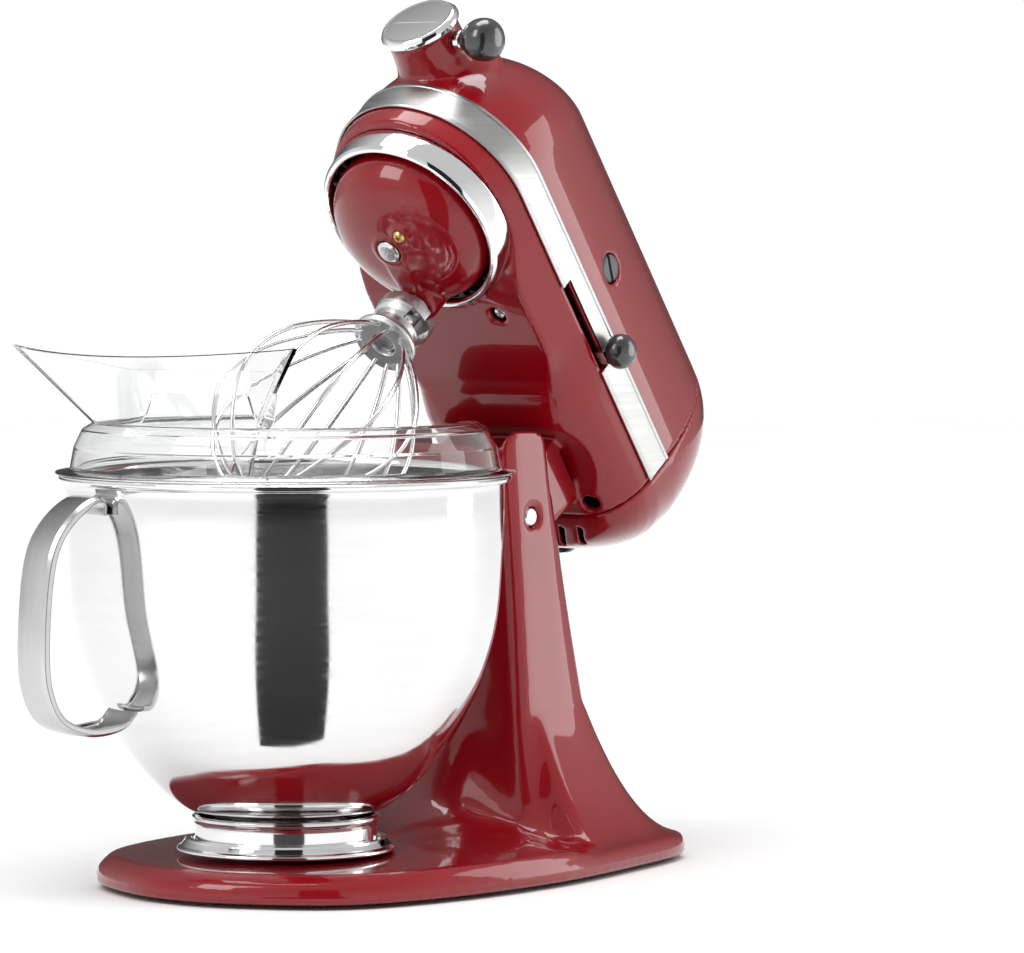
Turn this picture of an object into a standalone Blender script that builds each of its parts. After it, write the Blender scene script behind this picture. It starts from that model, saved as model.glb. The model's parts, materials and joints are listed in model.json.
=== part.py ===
"""Stand mixer with a tilting head, a bowl on a bayonet plate, a wire whisk, a pouring shield and a chute.

Lengths are in millimetres and are turned into metres where a mesh or an empty is made. The design frame
has the bowl's axis at X = Y = 0 and the table at Z = 0. The nose points to -X and the speed lever is on
the -Y side. Everything in the head is drawn as it lies with the head down, and the head's empty, on the
hinge pin, turns it up.
"""
import math

import bmesh
import bpy
from mathutils import Vector

MM = 0.001
GAP = 0.3                       # clearance between pieces that touch
WELD_DISTANCE = 0.00002         # metres

# Footprint: the middle of the whole assembly's box, seen from the bowl's axis.
MIDDLE_X = 82.8                 # centre of the whole object, so the box sits round the origin
MIDDLE_Y = 0.0

# Hinge of the head
PIN_X = 148.8
PIN_Z = 177.5
PIN_RADIUS = 4.9
HEAD_TILT = 53.5                # degrees, nose up

# Pedestal
BASE_FOOT_Z = 2.0               # underside of the casting; the rubber feet stand below it
BASE_EDGE_Z = 9.0
DECK_Z = 18.8
BASE_OUTLINE = [(-86, 0), (-79, 36), (-51, 79.5), (3, 100), (83, 105.7), (164, 95), (222, 80), (246, 50), (252, 0)]
COLUMN_CENTRE_X = 155.0
COLUMN_FOOT_Z = 75.0            # the flare of the column starts below this height
YOKE_TOP_Z = 221.5
YOKE_FLOOR_Z = 156.0
EAR_OUTER_Y = 38.0
EAR_INNER_Y = 33.7
COLUMN_END_Z = 226.0            # the column is drawn to here, then trimmed to the yoke's shape
TRAY_INSET = 9.0                # the casting is hollow: a shallow tray under the base
TRAY_TOP_Z = 8.0
WELL_INSET = 20.0               # deeper under the bowl, where the deck is level
WELL_REAR_X = 108.0
WELL_TOP_Z = 12.6
CORE_FRONT_X = 136.0            # and a tapering core inside the column

# Head
BAND_Z = (247.0, 266.4)
PARTING_Z = 256.8
HEAD_HALF_WIDTH = 56.0
HEAD_MID_Z = 266.0
HEAD_TOP_Z = 354.0
HEAD_BOTTOM_Z = 223.9
HEAD_REAR_X = 229.0
END_SEAM_X = 181.0
HEAD_WALL = 3.4
TONGUE_HALF_WIDTH = 32.6
HINGE_SWEEP_RADIUS = 46.8       # what turns past the yoke stays outside this radius about the pin

# Planetary drive, whose ring, planet and axle distance follow from the gears' teeth
GEAR_MODULE = 2.3
RING_TEETH = 42
PLANET_TEETH = 12
BEATER_X = GEAR_MODULE * (RING_TEETH - PLANET_TEETH) / 2
SHAFT_RADIUS = 6.3
WELL_RADIUS = 52.9              # the opening under the nose that holds the drive

# Transmission
MOTOR_Z = 288.6
WORM_GEAR_TEETH = 20
WORM_MODULE = 2.0
WORM_RADIUS = 6.5
PINION_TEETH = 12
CENTRE_TEETH = 28
PINION_MODULE = 2.5
WORM_GEAR_Y = WORM_MODULE * WORM_GEAR_TEETH / 2 + WORM_RADIUS + 0.8
WORM_GEAR_X = math.sqrt((PINION_MODULE * (PINION_TEETH + CENTRE_TEETH) / 2) ** 2 - WORM_GEAR_Y ** 2)
WORM_START = 28.0
WORM_TURNS = 4
WORM_PHASE = -2 * (WORM_GEAR_X - WORM_START) / WORM_MODULE    # puts a crest in the wheel's nearest gap
BEVEL_TEETH = (16, 8)
HUB_Z = 290.0

# Bowl
RIM_Z = 203.9
SEAT_Z = 19.3
HANDLE_ANGLE = 163.0            # degrees about +Z
CHUTE_ANGLE = 190.0
CHUTE_WALL = 2.4
SHIELD_GAP = 46.0               # half the angle of the shield's opening towards the column

ROOT = {}


# ---------------------------------------------------------------- materials

FINISHES = {
    "enamel": ((0.40, 0.012, 0.025), 0.16, 0.0),
    "cast": ((0.55, 0.55, 0.55), 0.45, 1.0),
    "steel": ((0.72, 0.72, 0.72), 0.16, 1.0),
    "brushed": ((0.66, 0.66, 0.65), 0.32, 1.0),
    "chrome": ((0.85, 0.85, 0.86), 0.06, 1.0),
    "iron": ((0.24, 0.24, 0.25), 0.5, 1.0),
    "copper": ((0.72, 0.36, 0.18), 0.35, 1.0),
    "brass": ((0.70, 0.52, 0.22), 0.35, 1.0),
    "black": ((0.02, 0.02, 0.02), 0.22, 0.0),
    "carbon": ((0.05, 0.05, 0.05), 0.7, 0.0),
    "rubber": ((0.45, 0.45, 0.44), 0.8, 0.0),
    "clear": ((0.92, 0.94, 0.95), 0.05, 0.0),
    "board": ((0.10, 0.25, 0.14), 0.5, 0.0),
}


def finish(piece, kind):
    """Give the piece a material of its own."""
    colour, roughness, metallic = FINISHES[kind]
    material = bpy.data.materials.new(piece.name)
    material.use_nodes = True
    shader = material.node_tree.nodes["Principled BSDF"]
    shader.inputs["Base Color"].default_value = (*colour, 1.0)
    shader.inputs["Roughness"].default_value = roughness
    shader.inputs["Metallic"].default_value = metallic
    if kind == "clear":
        shader.inputs["Transmission Weight"].default_value = 1.0
    piece.data.materials.append(material)


# ---------------------------------------------------------------- frames and pieces

def frame(name, point, parent=None):
    """An empty at a point of the design frame. Pieces and other frames hang on it."""
    empty = bpy.data.objects.new(name + "_axis", None)
    bpy.context.scene.collection.objects.link(empty)
    origin = Vector(point)
    if parent is None:
        empty.location = (origin - Vector((MIDDLE_X, MIDDLE_Y, 0))) * MM
    else:
        empty.parent = ROOT[parent][0]
        empty.location = (origin - ROOT[parent][1]) * MM
    ROOT[name] = (empty, origin)
    return empty


def piece(name, on, kind, verts, faces, smooth=40):
    """An object from vertices and faces in the design frame, on one of the frames."""
    mesh = bpy.data.meshes.new(name)
    work = bmesh.new()
    empty, origin = ROOT[on]
    corners = [work.verts.new((Vector(v) - origin) * MM) for v in verts]
    for face in faces:
        work.faces.new([corners[i] for i in face])
    bmesh.ops.remove_doubles(work, verts=work.verts, dist=1e-7)
    bmesh.ops.dissolve_degenerate(work, edges=work.edges, dist=1e-7)
    bmesh.ops.recalc_face_normals(work, faces=work.faces)
    work.to_mesh(mesh)
    work.free()
    if smooth:
        mesh.shade_smooth()
        mesh.set_sharp_from_angle(angle=math.radians(smooth))
    made = bpy.data.objects.new(name, mesh)
    bpy.context.scene.collection.objects.link(made)
    made.parent = empty
    if kind:
        finish(made, kind)
    else:
        made.hide_render = True
        made.display_type = "WIRE"
    return made


def boolean(target, tool, operation):
    """Cut, join or keep, then close the hairline gaps that the sum of several cuts would leave."""
    modifier = target.modifiers.new(tool.name, "BOOLEAN")
    modifier.operation = operation
    modifier.solver = "EXACT"
    modifier.object = tool
    weld = target.modifiers.new(tool.name + "_weld", "WELD")
    weld.merge_threshold = WELD_DISTANCE
    return target


def cut(target, *tools):
    for tool in tools:
        boolean(target, tool, "DIFFERENCE")
    return target


def join(target, *tools):
    for tool in tools:
        boolean(target, tool, "UNION")
    return target


def keep(target, *tools):
    for tool in tools:
        boolean(target, tool, "INTERSECT")
    return target


# ---------------------------------------------------------------- shapes: each returns (verts, faces)

def loft(rings, caps=True):
    """Closed rings of equal length, joined one after the other."""
    count = len(rings[0])
    verts = [point for ring in rings for point in ring]
    faces = []
    for k in range(len(rings) - 1):
        for i in range(count):
            j = (i + 1) % count
            faces.append((k * count + i, k * count + j, (k + 1) * count + j, (k + 1) * count + i))
    if caps:
        faces.append(tuple(range(count)))
        last = (len(rings) - 1) * count
        faces.append(tuple(last + i for i in range(count)))
    return verts, faces


def turn_axis(axis, radius, angle, along, centre):
    """A point at a radius and an angle about an axis through the centre."""
    a, b = radius * math.cos(angle), radius * math.sin(angle)
    x, y, z = {"z": (a, b, along), "x": (along, a, b), "y": (b, along, a)}[axis]
    return (x + centre[0], y + centre[1], z + centre[2])


def lathe(profile, segments, centre=(0, 0, 0), axis="z", arc=None):
    """Turn a closed profile of (radius, place along the axis) about an axis, fully or over an arc."""
    start, sweep = (0.0, 2 * math.pi) if arc is None else (math.radians(arc[0]), math.radians(arc[1] - arc[0]))
    steps = segments if arc is None else segments + 1
    rings = []
    for k in range(steps):
        angle = start + sweep * k / segments
        rings.append([turn_axis(axis, r, angle, s, centre) for r, s in profile])
    if arc is not None:
        return loft(rings)
    verts, faces = loft(rings + [rings[0]], caps=False)
    count = len(profile)
    on_axis = {i for i, (r, s) in enumerate(profile) if r == 0}
    return verts, [face for face in faces if not {i % count for i in face} <= on_axis]


def prism(outline, low, high):
    """An outline in X and Y between two heights."""
    return loft([[(x, y, low) for x, y in outline], [(x, y, high) for x, y in outline]])


def side_prism(outline, near, far):
    """An outline in X and Z between two values of Y."""
    return loft([[(x, near, z) for x, z in outline], [(x, far, z) for x, z in outline]])


def block(x, y, z):
    return prism([(x[0], y[0]), (x[1], y[0]), (x[1], y[1]), (x[0], y[1])], z[0], z[1])


def circle(radius, count, centre=(0, 0), start=0.0):
    return [(centre[0] + radius * math.cos(start + 2 * math.pi * i / count),
             centre[1] + radius * math.sin(start + 2 * math.pi * i / count)) for i in range(count)]


def tube(path, radius, sides=8, flat=1.0, up=(0, 0, 1)):
    """A round or flattened section carried along a path. The section's long side lies across 'up'."""
    rings = []
    points = [Vector(p) for p in path]
    for k, point in enumerate(points):
        ahead = points[min(k + 1, len(points) - 1)] - points[max(k - 1, 0)]
        ahead.normalize()
        side = ahead.cross(Vector(up)).normalized()
        over = side.cross(ahead).normalized()
        rings.append([tuple(point + side * radius * math.cos(2 * math.pi * i / sides)
                            + over * radius * flat * math.sin(2 * math.pi * i / sides)) for i in range(sides)])
    return loft(rings)


def bent(points, count):
    """Points spaced evenly on a smooth curve through the given ones."""
    knots = [Vector(p) for p in points]
    knots = [2 * knots[0] - knots[1]] + knots + [2 * knots[-1] - knots[-2]]
    fine = []
    for k in range(1, len(knots) - 2):
        for i in range(24):
            fine.append(spline_point(knots[k - 1:k + 3], i / 24))
    fine.append(knots[-2])
    return even(fine, count)


def spline_point(four, t):
    a, b, c, d = four
    return 0.5 * (2 * b + (c - a) * t + (2 * a - 5 * b + 4 * c - d) * t * t + (3 * b - a - 3 * c + d) * t ** 3)


def even(fine, count):
    lengths = [0.0]
    for a, b in zip(fine, fine[1:]):
        lengths.append(lengths[-1] + (b - a).length)
    picked = []
    k = 0
    for i in range(count):
        want = lengths[-1] * i / (count - 1)
        while k < len(fine) - 2 and lengths[k + 1] < want:
            k += 1
        span = max(lengths[k + 1] - lengths[k], 1e-9)
        picked.append(fine[k].lerp(fine[k + 1], (want - lengths[k]) / span))
    return picked


def inset_loop(points, distance):
    """A closed outline in a plane, drawn anticlockwise, moved inwards with its corners kept sharp."""
    moved = []
    for k, (x, y) in enumerate(points):
        before, after = points[k - 1], points[(k + 1) % len(points)]
        into = Vector((x - before[0], y - before[1])).normalized()
        out = Vector((after[0] - x, after[1] - y)).normalized()
        normal = Vector((-into.y - out.y, into.x + out.x)).normalized()
        stretch = distance / max(0.3, normal.dot(Vector((-into.y, into.x))))
        moved.append((x + normal.x * stretch, y + normal.y * stretch))
    return moved


def smooth_step(x, low, high):
    t = min(max((x - low) / (high - low), 0.0), 1.0)
    return t * t * (3 - 2 * t)


# ---------------------------------------------------------------- gears

def gear_outline(teeth, module, centre=(0, 0), turn=0.0, internal=False, addendum=0.8, thick=0.40):
    """Straight-flanked teeth with some play. 'turn' is the direction, in radians, of one tooth's middle."""
    pitch = module * teeth / 2
    sign = -1 if internal else 1
    tip, root = pitch + sign * addendum * module, pitch - sign * 1.0 * module
    step = 2 * math.pi / teeth
    points = []
    for k in range(teeth):
        middle = turn + k * step
        for part, radius in ((-thick * 0.70, root), (-thick * 0.38, tip), (thick * 0.38, tip), (thick * 0.70, root)):
            angle = middle + part * step
            points.append((centre[0] + radius * math.cos(angle), centre[1] + radius * math.sin(angle)))
    return points


def bored(made, on, radius, centre, low, high, count=16):
    """Cut a round bore along Z through a piece."""
    return cut(made, piece(made.name + "_bore", on, None, *prism(circle(radius, count, centre), low, high)))


def bevel(teeth, small, large, low, high, centre, axis, turn):
    """Toothed cone: 'small' and 'large' are the pitch radii at its two ends along the axis."""
    rings = []
    step = 2 * math.pi / teeth
    for root, tip, along in ((large - 1.6, large + 1.1, low), (small - 1.1, small + 0.8, high)):
        ring = []
        for k in range(teeth):
            middle = turn + k * step
            for part, radius in ((-0.30, root), (-0.13, tip), (0.13, tip), (0.30, root)):
                ring.append(turn_axis(axis, radius, middle + part * step, along, centre))
        rings.append(ring)
    return loft(rings)


def worm_thread(low, high, turns, core, height, turn):
    """A cylinder about X whose radius follows a helix."""
    rings = []
    rows, columns = int(turns * 5), 10
    for k in range(rows + 1):
        s = low + (high - low) * k / rows
        ring = []
        for i in range(columns):
            angle = 2 * math.pi * i / columns
            fade = min(1.0, k / 4, (rows - k) / 4)
            wave = math.cos(2 * math.pi * turns * k / rows - angle + turn)
            ring.append(turn_axis("x", core + height * wave * fade, angle, s, (0, 0, MOTOR_Z)))
        rings.append(ring)
    return loft(rings)


# ---------------------------------------------------------------- stand

def base_outline():
    half = [(x, y, 0) for x, y in BASE_OUTLINE]
    whole = [half[1][:1] + (-half[1][1], 0)] + half + [(half[-2][0], -half[-2][1], 0)]
    fine = []
    for k in range(1, len(whole) - 2):
        for i in range(24):
            fine.append(spline_point([Vector(p) for p in whole[k - 1:k + 3]], i / 24))
    fine.append(Vector(half[-1]))
    return fine


def column_half_width(z):
    return EAR_OUTER_Y + 0.00055 * max(0.0, YOKE_TOP_Z - z) ** 1.9


def column_front_x(z):
    return 126.0 + 5.0 * math.sin(math.pi * min(1.0, max(0.0, (YOKE_TOP_Z - z) / 190)))


def column_rear_x(z):
    return 178.0 + 0.22 * (158.0 - z) - 0.0005 * max(0.0, z - 158.0) ** 2


def ray_to_box(angle, z):
    """Where a ray from the column's middle meets its rounded rectangular section."""
    front = column_front_x(z) - COLUMN_CENTRE_X
    rear = column_rear_x(z) - COLUMN_CENTRE_X
    wide = column_half_width(z)
    c, s = math.cos(angle), math.sin(angle)
    reach = rear if c > 0 else -front
    power = 5.0 if c > 0 else 9.0
    return 1 / ((abs(c) / reach) ** power + (abs(s) / wide) ** power) ** (1 / power)


def ray_to_base(angle, fine):
    best = None
    for a, b in zip(fine, fine[1:]):
        ta = math.atan2(a.y, a.x - COLUMN_CENTRE_X)
        tb = math.atan2(b.y, b.x - COLUMN_CENTRE_X)
        want = abs(math.atan2(math.sin(angle), math.cos(angle)))
        if min(ta, tb) <= want <= max(ta, tb):
            t = 0 if ta == tb else (want - ta) / (tb - ta)
            p = a.lerp(b, t)
            best = math.hypot(p.x - COLUMN_CENTRE_X, p.y)
    return best


def pedestal_rays():
    """Directions about the column's middle, closer together where the section turns its corners."""
    half = [0, 18, 34, 45, 56, 72, 90, 106, 118, 125, 133, 142, 151, 160, 170, 180]
    return [math.radians(a) for a in half] + [math.radians(-a) for a in reversed(half[1:-1])]


def pedestal_rings():
    """Rings from the underside up: the base's edge, its deck and flare, and the column."""
    rays = pedestal_rays()
    outline = base_outline()
    reach = [ray_to_base(a, outline) for a in rays]
    foot = [ray_to_box(a, COLUMN_FOOT_Z) for a in rays]
    front = [smooth_step(abs(a), math.radians(100), math.radians(128)) for a in rays]
    rings = []

    def ring(radii, heights):
        rings.append([(COLUMN_CENTRE_X + r * math.cos(a), r * math.sin(a), z)
                      for a, r, z in zip(rays, radii, heights)])

    for pull_in, height in ((1.6, BASE_FOOT_Z), (0.0, BASE_FOOT_Z + 1.6), (0.2, BASE_EDGE_Z - 1.0), (2.6, BASE_EDGE_Z + 3.6)):
        ring([r - pull_in for r in reach], [height] * len(rays))
    for d in (0.93, 0.8, 0.62, 0.45, 0.3, 0.19, 0.11, 0.05, 0.0):
        radii, heights = [], []
        for full, near, f in zip(reach, foot, front):
            power = 2.0 + 8.5 * f
            deck = (DECK_Z - 2.5) * f + BASE_EDGE_Z * (1 - f) + 2.5 * f * min(1.0, (1 - d) / 0.6)
            radii.append(near + (full - near) * d)
            heights.append(deck + (COLUMN_FOOT_Z - deck) * (1 - d) ** power)
        ring(radii, heights)
    for z in (110, 160, COLUMN_END_Z):
        ring([ray_to_box(a, z) for a in rays], [z] * len(rays))
    return rings


def shrunk(x, y, inset):
    """The point, moved towards the column's middle."""
    reach = math.hypot(x - COLUMN_CENTRE_X, y)
    share = (reach - inset) / reach
    return COLUMN_CENTRE_X + (x - COLUMN_CENTRE_X) * share, y * share


def stand_pieces():
    pedestal = piece("pedestal", "stand", "enamel", *loft(pedestal_rings()))
    tray = piece("pedestal_tray", "stand", None, *prism(
        [(x, y) for x, y, z in pedestal_rings()[0] for x, y in [shrunk(x, y, TRAY_INSET)]], -5, TRAY_TOP_Z))
    well = piece("pedestal_well", "stand", None, *prism(
        [(min(x, WELL_REAR_X), y) for x, y in
         [shrunk(x, y, WELL_INSET) for x, y, z in pedestal_rings()[0] if x < WELL_REAR_X + 20]], -5, WELL_TOP_Z))
    core = piece("pedestal_core", "stand", None, *loft(
        [[(x, y, z) for x, y in ((CORE_FRONT_X, -wide), (rear, -wide), (rear, wide), (CORE_FRONT_X, wide))]
         for rear, wide, z in ((210, 62, -5), (196, 50, 30), (182, 38, 60), (172, 31, YOKE_FLOOR_Z - 24))]))
    front, rear = column_front_x(YOKE_TOP_Z), 300
    pocket = piece("pedestal_pocket", "stand", None, *side_prism(
        [(front + 5, 240), (front + 6, 172), (front + 14, YOKE_FLOOR_Z), (rear, YOKE_FLOOR_Z - 18), (rear, 240)],
        -EAR_INNER_Y, EAR_INNER_Y))
    notch = piece("pedestal_front_notch", "stand", None, *block((100, 150), (-EAR_INNER_Y, EAR_INNER_Y), (213, 240)))
    crown = [(-120, -5), (-120, 205), (50, 205), (front + 0.5, 213.5), (front + 6, 219.5), (front + 12, YOKE_TOP_Z),
             (front + 27, YOKE_TOP_Z - 0.3), (front + 33, 218.5), (front + 36, 213), (front + 38.5, 190), (320, 110),
             (320, -5)]
    shape = piece("pedestal_crown", "stand", None, *side_prism(crown, -130, 130))
    bore = piece("pedestal_pin_bore", "stand", None, *lathe(
        [(0, -50), (PIN_RADIUS + GAP, -50), (PIN_RADIUS + GAP, 50), (0, 50)], 24, (PIN_X, 0, PIN_Z), "y"))
    seat = piece("clamp_plate_seat", "stand", None, *prism(circle(54.5, 36, start=0.05), SEAT_Z - GAP, 60))
    cut(keep(pedestal, shape), pocket, notch, tray, well, core, bore, seat)

    piece("hinge_pin", "stand", "steel", *lathe(
        [(0, -37.6), (4.3, -37.6), (PIN_RADIUS, -37.0), (PIN_RADIUS, 37.0), (4.3, 37.6), (0, 37.6)],
        24, (PIN_X, 0, PIN_Z), "y"))
    piece("height_stop_screw", "stand", "steel", *lathe(
        [(0, YOKE_FLOOR_Z + 3.5), (2.6, YOKE_FLOOR_Z + 3.5), (2.6, YOKE_FLOOR_Z + 0.9), (4.0, YOKE_FLOOR_Z + 0.9),
         (4.0, YOKE_FLOOR_Z - 12.0), (0, YOKE_FLOOR_Z - 12.0)], 12, (PIN_X + 2, 0, 0)))
    cut(pedestal, piece("stop_screw_bore", "stand", None, *lathe(
        [(0, 130), (4.3, 130), (4.3, 180), (0, 180)], 12, (PIN_X + 2, 0, 0))))

    for k, (x, y) in enumerate([(-62, 0), (60, 84), (60, -84), (212, 58), (212, -58)]):
        piece(f"foot_{k + 1}", "stand", "rubber", *lathe(
            [(0, 0), (8.2, 0), (9.0, 0.8), (9.0, BASE_FOOT_Z + 1.0), (5.0, BASE_FOOT_Z + 1.0), (5.0, 8.2), (0, 8.2)],
            12, (x, y, 0)))
        boss = piece(f"foot_boss_{k + 1}", "stand", None, *lathe(
            [(0, BASE_FOOT_Z), (12.0, BASE_FOOT_Z), (12.0, 14), (0, 14)], 12, (x, y, 0)))
        socket = piece(f"foot_socket_{k + 1}", "stand", None, *lathe(
            [(0, 0), (9.3, 0), (9.3, BASE_FOOT_Z + 1.3), (5.3, BASE_FOOT_Z + 1.3), (5.3, 8.5), (0, 8.5)],
            12, (x, y, 0)))
        cut(join(pedestal, boss), socket)

    plate = piece("bowl_clamp_plate", "stand", "chrome", *lathe(
        [(0, SEAT_Z), (53.2, SEAT_Z), (53.9, 20.0), (53.6, 21.0), (51.6, 22.0), (49.8, 25.4), (48.8, 26.0),
         (46.4, 26.0), (46.4, 24.2), (48.6, 24.2), (48.6, 20.9), (0, 20.9)], 30))
    for k in range(2):
        spread = math.radians(180 * k + LUG_RELEASE)
        cut(plate, piece(f"lug_notch_{k + 1}", "stand", None, *lathe(
            [(45.0, 22.7), (52.0, 22.7), (52.0, 27.0), (45.0, 27.0)], 3,
            arc=(math.degrees(spread) - 11, math.degrees(spread) + 11))))


LUG_RELEASE = 115.0             # degrees about +Z where the bowl's lugs can lift out
LUG_REST = 90.0


# ---------------------------------------------------------------- head castings

def head_plan(t):
    """The head seen from above, at its widest: a round nose, straight sides and a blunt rear end."""
    rear_start = END_SEAM_X
    if t < 0.30:
        angle = math.pi - t / 0.30 * math.pi / 2
        return (HEAD_HALF_WIDTH + 0.5) * math.cos(angle), HEAD_HALF_WIDTH * math.sin(angle)
    if t < 0.62:
        return (t - 0.30) / 0.32 * rear_start, HEAD_HALF_WIDTH
    angle = (t - 0.62) / 0.38 * math.pi / 2
    depth = HEAD_REAR_X - rear_start
    return (rear_start + depth * math.sin(angle) ** (2 / 2.3),
            HEAD_HALF_WIDTH * max(0.0, math.cos(angle)) ** (2 / 2.3))


def head_underside(x):
    """Height of the head's underside along its length."""
    chin = 7.4 * smooth_step(x, 96, 124)
    rise = 1.5 * smooth_step(x, 124, 170) - 1.5 * smooth_step(x, 170, 200)
    return HEAD_BOTTOM_Z + 12.0 * (1 - smooth_step(x, 6, 44)) - chin + rise


def head_corner(x):
    """Half-width of the flat underside: broad behind the drive, narrow at the hinge and towards the rear."""
    broad = 50.0 + 2.0 * (1 - smooth_step(x, 6, 44))
    return broad + (33.0 - broad) * smooth_step(x, 78, 120)


def head_rows(inset):
    """Rings of the whole head form from its underside's centre line to its crown."""
    steps = 15
    plan = [head_plan(i / steps) for i in range(steps + 1)]
    rings = []

    def ring(shape):
        side = [shape(x, y) for x, y in plan]
        rings.append(side + [(x, -y, z) for x, y, z in reversed(side[1:-1])])

    def lower(level):
        def shape(x, y):
            bottom = head_underside(x) + inset
            corner = max(2.0, head_corner(x) - inset)
            wide = max(0.0, abs(y) - inset * abs(y) / HEAD_HALF_WIDTH)
            share = corner / HEAD_HALF_WIDTH
            round_up = math.sqrt(max(0.0, 1 - (1 - level) ** 2))
            tight = smooth_step(x, 78, 120)
            straight = share + (1 - share) * (tight * round_up + (1 - tight) * level)
            z = bottom + (BAND_Z[0] + 1 - bottom) * level
            x_new = fit(x, straight, z)
            return x_new, wide * straight, z
        return shape

    def fit(x, share, z):
        if x < 0:
            return (x + inset) * (0.94 + 0.06 * share if share < 1 else 1.0) * min(1.0, share + 0.06)
        if x > END_SEAM_X:
            low = head_underside(x)
            t = min(1.0, max(0.0, (z - low) / (HEAD_MID_Z - low)))
            return END_SEAM_X + (x - END_SEAM_X - inset * (x - END_SEAM_X) / (HEAD_REAR_X - END_SEAM_X)) * (
                0.42 + 0.58 * math.sin(t * math.pi / 2) ** 0.9)
        return x

    def centre_line(x, y):
        base = lower(0.0)(x, y)
        return base[0], 0.0, base[2]

    ring(centre_line)
    for level in (0.0, 0.15, 0.45, 1.0):
        ring(lower(level))
    for angle in (0, 15, 30, 45, 59, 72, 82, 90):
        c, s = math.cos(math.radians(angle)), math.sin(math.radians(angle))

        def upper(x, y, c=c, s=s):
            ridge_front, ridge_rear = 34.0, 176.0
            if x < ridge_front:
                x = ridge_front + (x - ridge_front) * c
                x = min(x + inset * c, ridge_front) if x < 0 else x
            elif x > ridge_rear:
                x = ridge_rear + (x - ridge_rear) * c ** 0.85
                x = max(x - inset * c, ridge_rear)
            wide = y * (HEAD_HALF_WIDTH - inset) / HEAD_HALF_WIDTH
            return x, wide * c, HEAD_MID_Z + (HEAD_TOP_Z - HEAD_MID_Z - inset) * s
        ring(upper)
    return rings


def head_form(name, inset, kind=None):
    return piece(name, "head", kind, *loft(head_rows(inset), caps=False))


def hinge_pocket(name):
    """What the yoke and its ears sweep out of the head's underside."""
    return piece(name, "head", None, *lathe(
        [(0, -70), (HINGE_SWEEP_RADIUS, -70), (HINGE_SWEEP_RADIUS, 70), (0, 70)], 48, (PIN_X, 0, PIN_Z), "y"))


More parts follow.
